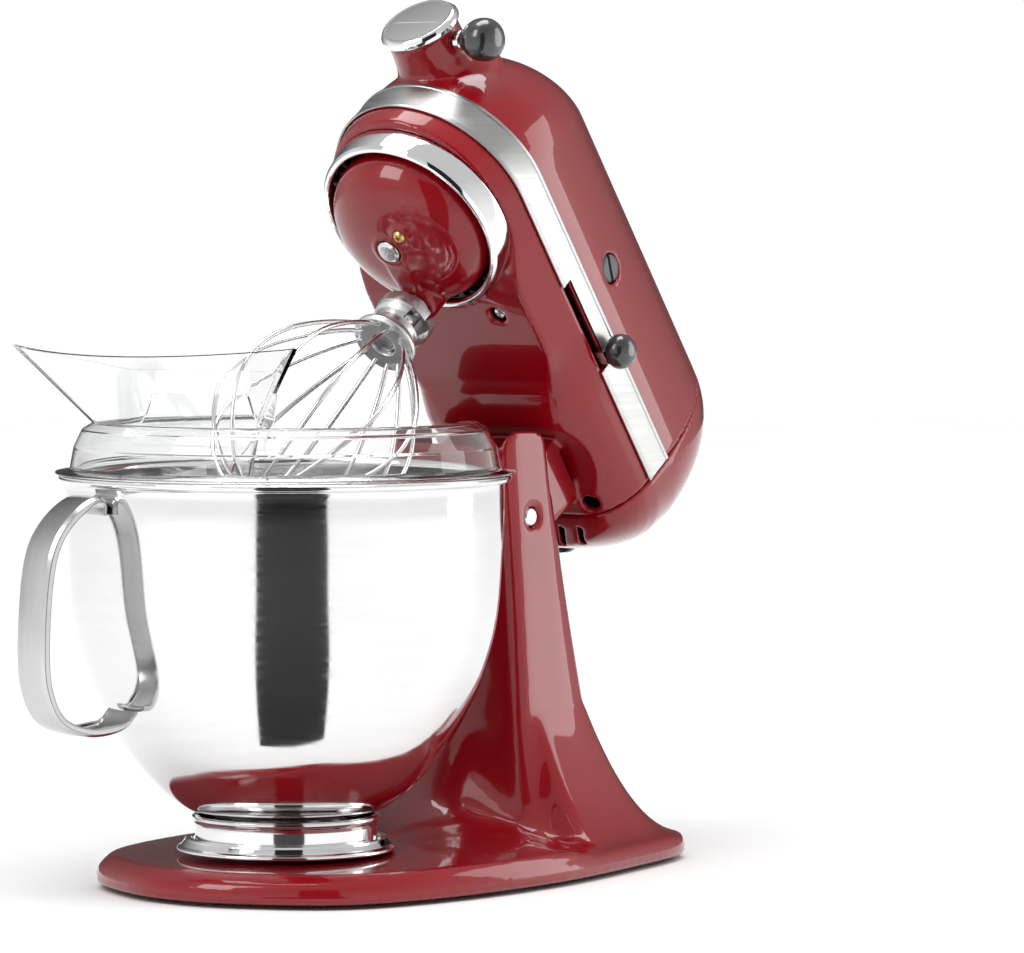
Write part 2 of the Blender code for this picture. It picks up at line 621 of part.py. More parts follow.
def housings():
    cavity = head_form("head_cavity", HEAD_WALL)
    seam_front = END_SEAM_X - GAP / 2
    upper = head_form("upper_housing", 0, "enamel")
    keep(upper, piece("upper_region", "head", None, *block((-150, seam_front), (-80, 80), (PARTING_Z + GAP, 400))))
    barrel = piece("hub_barrel", "head", None, *lathe(
        [(0, -74.5), (17.6, -74.5), (18.6, -73.6), (18.8, -66), (20.5, -58), (25, -50), (31, -42), (31, -20),
         (0, -20)], 32, (0, 0, HUB_Z), "x"))
    join(upper, barrel)
    cut(upper, cavity, piece("hub_bore", "head", None, *lathe(
        [(0, -80), (13.2, -80), (13.2, 0), (0, 0)], 24, (0, 0, HUB_Z), "x")))
    for side in (-1, 1):
        cut(upper, piece(f"brush_bore_{side + 2}", "head", None, *lathe(
            [(0, 30), (7.9, 30), (7.9, 70), (0, 70)] if side > 0 else [(0, -70), (7.9, -70), (7.9, -30), (0, -30)],
            20, (74.9, 0, MOTOR_Z), "y")))
    cut(upper, piece("hub_screw_bore", "head", None, *lathe(
        [(0, -40), (3.1, -40), (3.1, -5), (0, -5)], 16, (-67.0, 0, HUB_Z), "y")))

    gearcase = head_form("gearcase", 0, "enamel")
    keep(gearcase, piece("gearcase_region", "head", None, *block((-150, seam_front), (-80, 80), (150, PARTING_Z))))
    web_low, web_high = 250.0, 253.4
    cut(gearcase, cavity)
    join(gearcase, piece("gearcase_web", "head", None, *lathe(
        [(0, web_low), (54.0, web_low), (54.0, web_high), (0, web_high)], 40)))
    cut(gearcase, piece("planetary_well", "head", None, *lathe(
        [(0, 200), (WELL_RADIUS, 200), (WELL_RADIUS, web_low), (0, web_low)], 40)))
    cut(gearcase, piece("shaft_bushing_bore", "head", None, *prism(circle(10.3, 24), 240, 260)))
    arch = piece("hinge_arch", "head", None, *lathe(
        [(0, -47), (HINGE_SWEEP_RADIUS + 3.4, -47), (HINGE_SWEEP_RADIUS + 3.4, 47), (0, 47)], 48, (PIN_X, 0, PIN_Z), "y"))
    keep(arch, head_form("arch_limit", 0.6))
    join(gearcase, arch)
    cut(gearcase, hinge_pocket("hinge_pocket"))
    lug = [(PIN_X + 15.5 * math.cos(math.radians(a)), PIN_Z + 15.5 * math.sin(math.radians(a)))
           for a in range(180, 361, 20)] + [(PIN_X + 19, PIN_Z + 20), (PIN_X + 22, PIN_Z + 43), (PIN_X - 16.4, PIN_Z + 44.5),
                                            (PIN_X - 15.5, PIN_Z + 20)]
    join(gearcase, piece("hinge_lug", "head", None, *side_prism(lug, -TONGUE_HALF_WIDTH, TONGUE_HALF_WIDTH)))
    cut(gearcase, piece("hinge_lug_bore", "head", None, *lathe(
        [(0, -60), (PIN_RADIUS + GAP, -60), (PIN_RADIUS + GAP, 60), (0, 60)], 24, (PIN_X, 0, PIN_Z), "y")))
    for name, x0, x1, y0, y1 in (("speed_slot", 56, 110, -62, -48), ("lock_slot", 108, 134, 48, 62)):
        cut(gearcase, piece(name, "head", None, *block((x0, x1), (y0, y1), (249.6, 254.4))))
    for k, (x, y, z) in enumerate(GEARCASE_SCREWS):
        cut(gearcase, piece(f"gearcase_screw_bore_{k + 1}", "head", None, *lathe(
            [(0, z - 12), (4.6, z - 12), (4.6, z + 1.2), (2.3, z + 1.2), (2.3, z + 30), (0, z + 30)], 16, (x, y, 0))))

    cover = head_form("rear_end_cover", 0, "enamel")
    keep(cover, piece("cover_region", "head", None, *block((END_SEAM_X + GAP / 2, 300), (-80, 80), (150, 400))))
    cut(cover, cavity)
    for k in range(5):
        y = -24 + 12 * k
        cut(cover, piece(f"vent_{k + 1}", "head", None, *prism(
            [(188, y - 1.6 - 2), (201, y - 1.6 + 2), (201, y + 1.6 + 2), (188, y + 1.6 - 2)], 205, 232)))
    cut(cover, piece("cover_screw_bore", "head", None, *lathe(
        [(0, 190), (2.4, 190), (2.4, 240), (0, 240)], 16, (0, 0, 312), "x")))
    cut(cover, piece("gland_bore", "head", None, *lathe(
        [(0, 190), (6.3, 190), (6.3, 240), (0, 240)], 20, (0, 22, 252), "x")))


GEARCASE_SCREWS = [(56.3, -29.1, 229.0), (56.3, 29.1, 229.0), (174.0, -38.0, 228.0), (174.0, 38.0, 228.0)]


def band_outline(outset):
    points = [(END_SEAM_X - 1.0, -HEAD_HALF_WIDTH - outset)]
    for k in range(25):
        angle = -math.pi / 2 - math.pi * k / 24
        points.append(((HEAD_HALF_WIDTH + 0.5 + outset) * math.cos(angle), (HEAD_HALF_WIDTH + outset) * math.sin(angle)))
    return points + [(END_SEAM_X - 1.0, HEAD_HALF_WIDTH + outset)]


def head_trim():
    inner, outer = band_outline(0.35), band_outline(1.45)
    rings = []
    for a, b in zip(inner, outer):
        rings.append([(*a, BAND_Z[0]), (*b, BAND_Z[0] + 0.4), (*b, BAND_Z[1] - 0.4), (*a, BAND_Z[1])])
    band = piece("trim_band", "head", "brushed", *loft(rings))
    for name, x0, x1, y0, y1 in (("band_speed_slot", 56, 110, -62, -48), ("band_lock_slot", 108, 134, 48, 62)):
        cut(band, piece(name, "head", None, *block((x0, x1), (y0, y1), (240, 254.4))))
    piece("drip_ring", "head", "chrome", *lathe(
        [(51.3, 236.0), (51.0, 226.0), (50.2, 222.6), (48.6, 221.3), (46.9, 221.9), (46.2, 223.8), (46.4, 226.0),
         (48.9, 227.5), (49.4, 236.0)], 32))
    ring = piece("ring_gear", "head", "iron", *prism(circle(WELL_RADIUS - GAP, 40), 237.0, 246.0))
    cut(ring, piece("ring_gear_teeth", "head", None, *prism(
        gear_outline(RING_TEETH, GEAR_MODULE, internal=True, turn=math.pi / RING_TEETH), 230, 249)))
    piece("shaft_bushing", "head", "brass", *lathe(
        [(6.6, 247.5), (14.0, 247.5), (14.0, 249.7), (10.0, 249.7), (10.0, 256.0), (6.6, 256.0)], 24))
    for k, (x, y, z) in enumerate(GEARCASE_SCREWS):
        piece(f"gearcase_screw_{k + 1}", "head", "steel", *lathe(
            [(0, z - 3.2), (2.8, z - 3.2), (4.1, z - 1.8), (4.1, z + 0.9), (2.0, z + 0.9), (2.0, z + 14), (0, z + 14)],
            8, (x, y, 0)))
    piece("cover_screw", "head", "steel", *lathe(
        [(0, 226.6), (3.0, 226.2), (4.4, 224.6), (4.4, 224.0), (2.1, 224.0), (2.1, 209), (0, 209)], 12, (0, 0, 312), "x"))
    piece("cord_gland", "head", "black", *lathe(
        [(0, 232.8), (4.6, 232.8), (6.4, 230), (8.8, 229.0), (8.8, 227.4), (6.0, 227.4), (6.0, 214), (0, 214)],
        12, (0, 22, 252), "x"))


# ---------------------------------------------------------------- motor

def motor_pieces():
    axis = (0, 0, MOTOR_Z)
    piece("motor_stator", "head", "iron", *lathe([(24.5, 92), (42, 92), (42, 134), (24.5, 134)], 28, axis, "x"))
    piece("front_bearing", "head", "brass", *lathe([(4.5, 58), (9.5, 58), (9.5, 64), (4.5, 64)], 16, axis, "x"))
    piece("rear_bearing", "head", "brass", *lathe([(4.5, 165), (9.5, 165), (9.5, 172), (4.5, 172)], 16, axis, "x"))
    for side, name in ((-1, "near"), (1, "far")):
        place = (74.9, 0, MOTOR_Z)
        profile = [(0, 53.6), (6.6, 53.6), (7.5, 52.8), (7.5, 46.5), (0, 46.5)]
        brush = [(0, 13.4), (3.2, 13.4), (3.2, 27.0), (0, 27.0)]
        cap = piece(f"brush_cap_{name}", "head", "black", *lathe([(r, side * s) for r, s in profile], 20, place, "y"))
        slot = piece(f"cap_slot_{name}", "head", None, *block(
            (66, 84), sorted((side * 52.4, side * 60)), (MOTOR_Z - 1.1, MOTOR_Z + 1.1)))
        cut(cap, slot)
        carbon = piece(f"carbon_brush_{name}", "head", "carbon", *lathe([(r, side * s) for r, s in brush], 8, place, "y"))
        join(carbon, spiral_spring(f"brush_spring_{name}", "head", 26.4, 45.6, 2.4, 0.45, 3, place, side, kind=None))

    shaft = piece("armature_shaft", "armature", "steel", *lathe(
        [(0, 57.0), (4.1, 57.0), (4.1, 175), (0, 175)], 16, axis, "x"))
    worm_end = WORM_START + WORM_TURNS * WORM_MODULE * math.pi
    worm = piece("worm_core", "armature", None, *worm_thread(
        WORM_START, worm_end, WORM_TURNS, WORM_RADIUS, 1.3, WORM_PHASE))
    neck = piece("worm_neck", "armature", None, *lathe([(0, 50), (4.1, 50), (4.1, 58), (0, 58)], 16, axis, "x"))
    join(shaft, neck, worm)
    piece("armature_core", "armature", "iron", *lathe([(4.5, 93), (23.4, 93), (23.4, 133), (4.5, 133)], 24, axis, "x"))
    piece("commutator", "armature", "copper", *lathe([(4.5, 67), (12.8, 67), (12.8, 83), (4.5, 83)], 24, axis, "x"))
    blades = []
    for k in range(9):
        for part, radius in ((-0.16, 9), (-0.10, 35), (0.10, 35), (0.16, 9)):
            blades.append((radius, 2 * math.pi * (k + part) / 9))
    fan = piece("cooling_fan", "armature", "cast", *loft(
        [[turn_axis("x", r, a, s, axis) for r, a in blades] for s in (140, 150)]))
    cut(fan, piece("fan_bore", "armature", None, *lathe([(0, 130), (4.5, 130), (4.5, 160), (0, 160)], 16, axis, "x")))


def spiral_spring(name, on, low, high, radius, wire, turns, place, side=1, axis="y", kind="steel", per_turn=8):
    steps = turns * per_turn
    path = [turn_axis(axis, radius, 2 * math.pi * k / per_turn, side * (low + wire + (high - low - 2 * wire) * k / steps),
                      place) for k in range(steps + 1)]
    up = {"y": (0, 1, 0), "z": (0, 0, 1), "x": (1, 0, 0)}[axis]
    return piece(name, on, kind, *tube(path, wire, 4, up=up))


def transmission_pieces():
    centre = (WORM_GEAR_X, WORM_GEAR_Y)
    teeth = WORM_GEAR_TEETH
    outline = []
    for k in range(teeth * 4):
        angle = 2 * math.pi * k / (teeth * 4)
        radius = WORM_MODULE * teeth / 2 + 1.2 * math.cos(teeth * (angle + math.pi / 2) + math.pi)
        outline.append((centre[0] + radius * math.cos(angle), centre[1] + radius * math.sin(angle)))
    wheel = piece("worm_gear", "worm_gear", "brass", *prism(outline, MOTOR_Z - 5, MOTOR_Z + 5))
    bored(wheel, "worm_gear", 5.3, centre, 270, 310)
    toward = math.atan2(-centre[1], -centre[0])
    pinion = piece("drive_pinion", "worm_gear", "steel", *prism(
        gear_outline(PINION_TEETH, PINION_MODULE, centre, toward + math.pi / PINION_TEETH), 264, 275))
    join(pinion, piece("pinion_shaft", "worm_gear", None, *lathe(
        [(0, 258), (5.0, 258), (5.0, 302), (0, 302)], 16, (*centre, 0))))
    away = toward + math.pi
    wheel = piece("centre_gear", "planetary", "iron", *prism(gear_outline(CENTRE_TEETH, PINION_MODULE, turn=away), 265, 274))
    crown = piece("centre_bevel", "planetary", None, *bevel(
        BEVEL_TEETH[0], 17.0, 23.6, 273.5, 280.6, (0, 0, 0), "z", math.pi))
    bored(join(wheel, crown), "planetary", SHAFT_RADIUS + GAP, (0, 0), 255, 290)
    hub = piece("hub_drive", "hub_drive", "steel", *bevel(
        BEVEL_TEETH[1], 8.4, 11.8, -24.5, -17.4, (0, 0, HUB_Z), "x", math.pi / 2 * 3 + math.pi / BEVEL_TEETH[1]))
    stem = piece("hub_drive_stem", "hub_drive", None, *lathe(
        [(0, -70), (12.4, -70), (12.4, -44), (6.0, -44), (6.0, -15.5), (0, -15.5)], 20, (0, 0, HUB_Z), "x"))
    square = piece("hub_drive_square", "hub_drive", None, *block((-75, -52), (-4.8, 4.8), (HUB_Z - 4.8, HUB_Z + 4.8)))
    cut(join(hub, stem), square)


# ---------------------------------------------------------------- planetary, beater shaft and whisk

def planetary_pieces():
    hub = piece("planetary_hub", "planetary", "enamel", *lathe(
        [(SHAFT_RADIUS + 0.3, 203.2), (12, 203.4), (22, 205.0), (31, 208.4), (38, 213.4), (42.3, 219.6), (43.6, 226.0),
         (43.6, 232.5), (40.6, 232.5), (39.6, 222.5), (28, 212.0), (SHAFT_RADIUS + 0.3, 212.0)], 24))
    boss = piece("beater_boss", "planetary", None, *lathe(
        [(0, 203.6), (9.8, 203.6), (10.8, 205), (10.8, 231), (0, 231)], 24, (BEATER_X, 0, 0)))
    rib = piece("hub_rib", "planetary", None, *side_prism(
        [(0, 210), (0, 202.6), (10, 202.5), (30, 205.0), (38, 208), (38, 214)], -5.5, 5.5))
    bore = piece("beater_bore", "planetary", None, *prism(circle(SHAFT_RADIUS + 0.3, 24, (BEATER_X, 0)), 195, 240))
    shaft_hole = piece("planetary_shaft_hole", "planetary", None, *prism(circle(SHAFT_RADIUS + 0.3, 24), 195, 240))
    cut(join(hub, boss, rib), bore, shaft_hole)
    piece("planetary_shaft", "planetary", "steel", *lathe(
        [(0, 200.7), (SHAFT_RADIUS - 0.7, 200.7), (SHAFT_RADIUS, 201.4), (SHAFT_RADIUS, 284.5), (0, 284.5)], 24))
    spot = (-5.8 * 1.6, -9.9 * 1.1, 0)
    cut(hub, piece("hub_screw_hole", "planetary", None, *prism(circle(2.2, 12, spot[:2]), 195, 215)))
    piece("hub_screw", "planetary", "brass", *lathe(
        [(0, 201.2), (2.6, 201.2), (3.2, 201.8), (3.2, 203.0), (1.9, 203.0), (1.9, 211), (0, 211)], 12, spot))

    on = "beater_shaft"
    shaft = piece("beater_shaft", on, "steel", *lathe(
        [(0, 173.0), (5.4, 173.0), (SHAFT_RADIUS, 174.2), (SHAFT_RADIUS, 247.0), (0, 247.0)], 24, (BEATER_X, 0, 0)))
    outline = gear_outline(PLANET_TEETH, GEAR_MODULE, (BEATER_X, 0))
    pinion = piece("beater_pinion", on, "iron", *prism(outline, 236.5, 246.4))
    bored(pinion, on, SHAFT_RADIUS + GAP, (BEATER_X, 0), 230, 250)
    turn = math.radians(BEATER_PIN_ANGLE)
    c, s = math.cos(turn), math.sin(turn)
    ends = [(BEATER_X + k * 11.4 * c, k * 11.4 * s, 186.5) for k in (-1, 1)]
    piece("beater_pin", on, "steel", *tube(ends, 2.5, 10))
    cut(shaft, piece("beater_pin_hole", on, None, *tube(ends, 2.8, 10)))
    spiral_spring("beater_spring", on, 197.6, 203.2, 8.6, 0.75, 3, (BEATER_X, 0, 0), axis="z", per_turn=10)
    whisk_pieces()


BEATER_PIN_ANGLE = -118.0       # degrees about +Z, where the shaft's cross pin points
WHISK_TURN = 35.0               # degrees from the whisk's seat to where its slot opens upwards
WHISK_LENGTH = 128.0
WHISK_WIRE = 1.15
WHISK_PROFILE = [(13.4, 0), (22.5, 9), (34, 24), (44.5, 42), (50, 60), (50, 76), (44, 92), (33, 107), (18, 119.5)]


def whisk_pieces():
    top, low = 197.0, 171.0
    place = (BEATER_X, 0, 0)
    hub = piece("whisk_hub", "whisk", "cast", *lathe(
        [(SHAFT_RADIUS + 0.3, top), (14.4, top), (15.4, top - 1), (15.4, 188.5), (14.2, 186.8), (12.6, 185.5),
         (12.2, 180.5), (13.5, 177.5), (17.0, 175.2), (17.4, 172.8), (16.2, low), (SHAFT_RADIUS + 0.3, low)], 24, place))
    slot_low, slot_high, slot_half = 183.4, 189.7, 3.1
    for name, turn, end in (("rest", 0.0, slot_high), ("entry", WHISK_TURN, top + 8)):
        angle = math.radians(BEATER_PIN_ANGLE + turn)
        c, s = math.cos(angle), math.sin(angle)
        across = [(BEATER_X + a * 20 * c - b * slot_half * s, a * 20 * s + b * slot_half * c)
                  for a, b in ((-1, -1), (1, -1), (1, 1), (-1, 1))]
        cut(hub, piece(f"whisk_slot_{name}", "whisk", None, *prism(across, slot_low, end)))
    for side in (0, 180):
        start = BEATER_PIN_ANGLE + side
        cut(hub, piece(f"whisk_slot_run_{side}", "whisk", None, *lathe(
            [(5, slot_low), (20, slot_low), (20, slot_high), (5, slot_high)], 4, place, arc=(start, start + WHISK_TURN))))
    wires = None
    for k in range(6):
        angle = math.pi * (k + 0.5) / 6
        across = (math.cos(angle), math.sin(angle))
        drop = WHISK_LENGTH - 2 * WHISK_WIRE - 0.5 * k
        half = WHISK_PROFILE + [(0, drop)]
        both = [(r, d) for r, d in half] + [(-r, d) for r, d in reversed(half[:-1])]
        path = bent([(BEATER_X + r * across[0], r * across[1], low - WHISK_WIRE - GAP - d) for r, d in both], 17)
        up = (-across[1], across[0], 0)
        on = "whisk"
        if wires is None:
            wires = piece("whisk_wires", on, "steel", *tube(path, WHISK_WIRE, 4, up=up))
        else:
            join(wires, piece(f"whisk_wire_{k + 1}", on, None, *tube(path, WHISK_WIRE, 4, up=up)))


# ---------------------------------------------------------------- controls and hub cover

def control_pieces():
    piece("speed_lever", "speed_lever", "steel", *loft([
        [(x, y, z) for x, z in ((99.6, 250.6), (107.4, 250.6), (107.4, 253.0), (99.6, 253.0))]
        for y in (-44.0, -60.4)]))
    piece("speed_knob", "speed_lever", "black", *knob_profile((104.0, -61.0, 257.5), 1))
    piece("lock_lever", "lock_lever", "steel", *loft([
        [(x, y, z) for x, z in ((111.0, 250.6), (118.0, 250.6), (118.0, 253.0), (111.0, 253.0))]
        for y in (44.0, 60.4)]))
    piece("lock_knob", "lock_lever", "black", *knob_profile((114.5, 61.0, 257.5), -1))
    piece("control_board", "head", "board", *block((190, 192), (-34, 34), (262, 318)))
    piece("attachment_knob", "attachment_knob", "black", *lathe(
        [(0, -46.0), (6.0, -45.2), (9.6, -42.2), (11.0, -37.5), (10.4, -32.0), (7.6, -27.8), (5.4, -26.6),
         (5.4, -24.6), (0, -24.6)], 24, (-67.0, 0, HUB_Z), "y"))
    piece("attachment_screw", "attachment_knob", "chrome", *lathe(
        [(0, -24.3), (4.6, -24.3), (4.6, -19.6), (2.8, -19.2), (2.8, -13.6), (0, -13.6)], 16, (-67.0, 0, HUB_Z), "y"))
    cover = piece("hub_cover", "hub_cover", "chrome", *lathe(
        [(0, -80.6), (17.5, -79.4), (20.2, -77.6), (20.8, -75.6), (20.6, -74.9), (0, -74.9)], 36, (0, 0, HUB_Z), "x"))
    join(cover, piece("hub_cover_knuckle", "hub_cover", None, *block(
        (-79.0, -73.0), (-6, 6), (HUB_Z + 19.6, HUB_Z + 22.8))))


def knob_profile(centre, side):
    """A ball with a flat inner face, on the outer end of a lever."""
    x, y, z = centre
    profile = [(0, 9.6), (4.2, 9.0), (7.6, 6.4), (9.0, 2.4), (8.6, -0.6), (6.6, -2.6), (0, -2.6)]
    return lathe([(r, -side * s) for r, s in profile], 20, (x, y - side * 2.2, z), "y")


# ---------------------------------------------------------------- bowl, shield and chute

def bowl_pieces():
    outer = [(111.0, 202.2), (110.5, 200.8), (108.6, 200.2), (107.5, 198.0), (107.3, 183.5), (105, 142.7),
             (100.3, 116.5), (88.2, 86), (65.5, 54), (47.4, 39.4), (40, 37.4), (0, 37.4)]
    wall = 1.2
    inner = [(0, 38.8), (40.2, 38.8), (46.4, 40.6), (64.4, 55.2), (87, 86.8), (99.1, 117), (103.8, 142.9),
             (106.1, 183.5), (106.2, 202.0), (107.6, RIM_Z), (110.2, RIM_Z)]
    piece("bowl", "bowl", "steel", *lathe(outer + inner, 36))
    foot = piece("bowl_foot", "bowl", "steel", *lathe(
        [(43.4, 37.1), (45.0, 37.1), (46.4, 36.0), (46.4, 34.4), (44.9, 33.2), (44.8, 22.4), (44.6, 21.3), (43.4, 21.3)],
        32))
    for k in range(2):
        middle = LUG_REST + 180 * k
        join(foot, piece(f"foot_lug_{k + 1}", "bowl", None, *lathe(
            [(44.0, 21.6), (48.0, 21.6), (48.0, 23.6), (44.0, 23.6)], 4, arc=(middle - 7, middle + 7))))
    turn = math.radians(HANDLE_ANGLE)
    c, s = math.cos(turn), math.sin(turn)
    route = bent([(110.4, 187.5, 0), (110.9, 193.6, 0), (118, 193.5, 0), (129, 185.5, 0), (137.5, 173, 0), (141.8, 154, 0),
                  (143.6, 124, 0), (141.8, 104, 0), (134, 89.5, 0), (118, 83.5, 0), (101, 85.5, 0), (93.2, 92.5, 0)], 30)
    rings = []
    for k, point in enumerate(route):
        ahead = (route[min(k + 1, len(route) - 1)] - route[max(k - 1, 0)]).normalized()
        across = Vector((-ahead.y, ahead.x, 0))
        ring = []
        for w, t in ((-13, -1.2), (-11.5, 1.6), (0, 2.4), (11.5, 1.6), (13, -1.2), (11.5, -2.0), (-11.5, -2.0)):
            p = point + across * t
            ring.append((p.x * c - w * s, p.x * s + w * c, p.y))
        rings.append(ring)
    piece("bowl_handle", "bowl", "steel", *loft(rings))


def shield_pieces():
    top = 229.5
    profile = [(112.8, RIM_Z + GAP), (112.8, 206.4), (105.4, 206.6), (103.2, 218), (99.0, 227.0), (94.0, top),
               (85.4, top), (84.4, 226.4), (93.2, 227.2), (97.4, 224.4), (101.2, 215), (103.0, RIM_Z + GAP)]
    piece("pouring_shield", "pouring_shield", "clear", *lathe(profile, 30, arc=(SHIELD_GAP, 360 - SHIELD_GAP)))
    turn = math.radians(CHUTE_ANGLE)
    c, s = math.cos(turn), math.sin(turn)

    def chute_ring(low, inset=0.0):
        """The hopper's outline: round the outer wall, then along the inner wall, whose foot has a mouth."""
        half_inner, half_outer = (40.0, 46.0) if low else (42.0, 78.5)
        u_inner, u_outer = (80.0, 111.0) if low else (77.0, 150.0)
        foot, mouth_top, lip, rim = 231.0, 246.0, 257.0, 269.0
        plan = []
        heights = []
        for k in range(13):
            t = -1 + k / 6
            plan.append((u_outer - (8.0 if low else 26.0) * t * t, half_outer * t))
            heights.append(foot if low else rim)
        for share in (1.0, 0.78, 0.72, 0.25, -0.25, -0.72, -0.78, -1.0):
            plan.append((u_inner, share * half_inner))
            heights.append((mouth_top if abs(share) < 0.75 else foot) if low else lip)
        return [(u * c - v * s, u * s + v * c, z) for (u, v), z in zip(inset_loop(plan, inset), heights)]

    outside_low, outside_high = chute_ring(True), chute_ring(False)
    inside_low, inside_high = chute_ring(True, CHUTE_WALL), chute_ring(False, CHUTE_WALL)
    count = len(outside_low)
    faces = []
    for i in range(count):
        j = (i + 1) % count
        a, b, d, e = i, j, count + i, count + j
        faces += [(a, b, e), (a, e, d), (d, e, 3 * count + j, 3 * count + i)]
        faces += [(2 * count + i, 3 * count + j, 2 * count + j), (2 * count + i, 3 * count + i, 3 * count + j)]
        faces.append((a, 2 * count + i, 2 * count + j, b))
    piece("pouring_chute", "pouring_chute", "clear", outside_low + outside_high + inside_low + inside_high, faces)


# ---------------------------------------------------------------- assembly

def clear_scene():
    for thing in list(bpy.data.objects):
        bpy.data.objects.remove(thing, do_unlink=True)


def main():
    clear_scene()
    frame("stand", (0, 0, 0))
    frame("bowl", (0, 0, 0), "stand")
    frame("pouring_shield", (0, 0, RIM_Z), "bowl")
    frame("pouring_chute", (-100, -17, 230), "pouring_shield")
    frame("head", (PIN_X, 0, PIN_Z), "stand").rotation_euler = (0, math.radians(HEAD_TILT), 0)
    frame("planetary", (0, 0, 228), "head")
    frame("beater_shaft", (BEATER_X, 0, 210), "planetary")
    frame("whisk", (BEATER_X, 0, 184), "beater_shaft")
    frame("armature", (112, 0, MOTOR_Z), "head")
    frame("worm_gear", (WORM_GEAR_X, WORM_GEAR_Y, MOTOR_Z), "head")
    frame("hub_drive", (-40, 0, HUB_Z), "head")
    frame("hub_cover", (-75, 0, HUB_Z + 21.7), "head")
    frame("attachment_knob", (-67, -30, HUB_Z), "head")
    frame("speed_lever", (104, -56, 252), "head")
    frame("lock_lever", (114.5, 56, 252), "head")
    stand_pieces()
    housings()
    head_trim()
    motor_pieces()
    transmission_pieces()
    planetary_pieces()
    control_pieces()
    bowl_pieces()
    shield_pieces()


main()
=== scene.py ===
"""Looks of the stand mixer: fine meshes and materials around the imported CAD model.

Shapes are drawn in millimetres in the mixer's own drawing frame, with the bowl's axis at X = Y = 0, the
table at Z = 0 and the head lying level. ON_STAND and ON_HEAD carry them to their places in the row frame.
"""
import json
import math

import bmesh
import bpy
from mathutils import Matrix, Vector


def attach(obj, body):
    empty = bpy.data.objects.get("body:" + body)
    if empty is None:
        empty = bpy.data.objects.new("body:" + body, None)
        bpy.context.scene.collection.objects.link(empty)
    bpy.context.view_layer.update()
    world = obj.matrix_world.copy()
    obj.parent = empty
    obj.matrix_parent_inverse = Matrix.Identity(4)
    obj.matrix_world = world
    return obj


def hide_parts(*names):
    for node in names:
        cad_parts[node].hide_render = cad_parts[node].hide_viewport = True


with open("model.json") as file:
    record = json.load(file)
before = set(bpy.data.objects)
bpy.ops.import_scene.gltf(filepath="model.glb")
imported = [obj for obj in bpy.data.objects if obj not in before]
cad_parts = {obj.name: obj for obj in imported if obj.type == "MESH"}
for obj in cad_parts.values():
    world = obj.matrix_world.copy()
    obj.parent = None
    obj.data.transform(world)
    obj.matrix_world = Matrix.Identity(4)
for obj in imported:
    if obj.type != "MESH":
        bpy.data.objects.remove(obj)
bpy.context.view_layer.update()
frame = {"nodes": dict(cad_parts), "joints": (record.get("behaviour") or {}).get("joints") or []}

# ---------------------------------------------------------------- frame

MM = 0.001
JOINT = {joint["name"]: joint for joint in frame["joints"]}
PIN_PLACE = Vector(JOINT["head_tilt"]["pos_m"])
BOWL_PLACE = Vector((*JOINT["bowl_turn"]["pos_m"][:2], 0.0))
HEAD_UP = Vector(JOINT["planetary_spin"]["axis"])
HEAD_BACK = Vector(JOINT["armature_spin"]["axis"])
PIN = (PIN_PLACE - BOWL_PLACE) / MM
ON_STAND = Matrix.Translation(BOWL_PLACE) @ Matrix.Scale(MM, 4)
TURNED = Matrix((HEAD_BACK, (0, 1, 0), HEAD_UP)).transposed().to_4x4()
ON_HEAD = Matrix.Translation(PIN_PLACE) @ TURNED @ Matrix.Scale(MM, 4) @ Matrix.Translation(-PIN)

GAP = 0.3
WELD_DISTANCE = 0.00002
BASE_FOOT_Z = 2.0
BASE_EDGE_Z = 9.0
DECK_Z = 18.8
BASE_OUTLINE = [(-86, 0), (-79, 36), (-51, 79.5), (3, 100), (83, 105.7), (164, 95), (222, 80), (246, 50),
                (252, 0)]
COLUMN_CENTRE_X = 155.0
COLUMN_FOOT_Z = 75.0
YOKE_TOP_Z = 221.5
YOKE_FLOOR_Z = 156.0
EAR_OUTER_Y = 38.0
EAR_INNER_Y = 33.7
BAND_Z = (247.0, 266.4)
PARTING_Z = 256.8
HEAD_HALF_WIDTH = 56.0
HEAD_MID_Z = 266.0
HEAD_TOP_Z = 354.0
HEAD_BOTTOM_Z = 223.9
HEAD_REAR_X = 229.0
END_SEAM_X = 181.0
HEAD_WALL = 3.4
TONGUE_HALF_WIDTH = 32.6
HINGE_SWEEP_RADIUS = 46.8
BEATER_X = 34.5
SHAFT_RADIUS = 6.3
WELL_RADIUS = 51.4
RING_TEETH = 42
MOTOR_Z = 288.6
HUB_Z = 290.0
RIM_Z = 203.9
SEAT_Z = 19.3
HANDLE_ANGLE = 163.0
CHUTE_ANGLE = 190.0
SHIELD_GAP = 46.0
FULL = 2 * math.pi

# ---------------------------------------------------------------- shapes: each returns (verts, faces)


def loft(rings, caps=True, close=False):
    """Rings of equal length, joined one after the other."""
    count = len(rings[0])
    verts = [point for ring in rings for point in ring]
    faces = []
    for k in range(len(rings) - (0 if close else 1)):
        n = (k + 1) % len(rings)
        for i in range(count):
            j = (i + 1) % count
            faces.append((k * count + i, k * count + j, n * count + j, n * count + i))
    if caps and not close:
        last = (len(rings) - 1) * count
        faces += [tuple(range(count)), tuple(last + i for i in range(count))]
    return verts, faces


def turned(axis, radius, angle, along, centre):
    """A point at a radius and an angle about an axis through the centre."""
    a, b = radius * math.cos(angle), radius * math.sin(angle)
    x, y, z = {"z": (a, b, along), "x": (along, a, b), "y": (b, along, a)}[axis]
    return (x + centre[0], y + centre[1], z + centre[2])


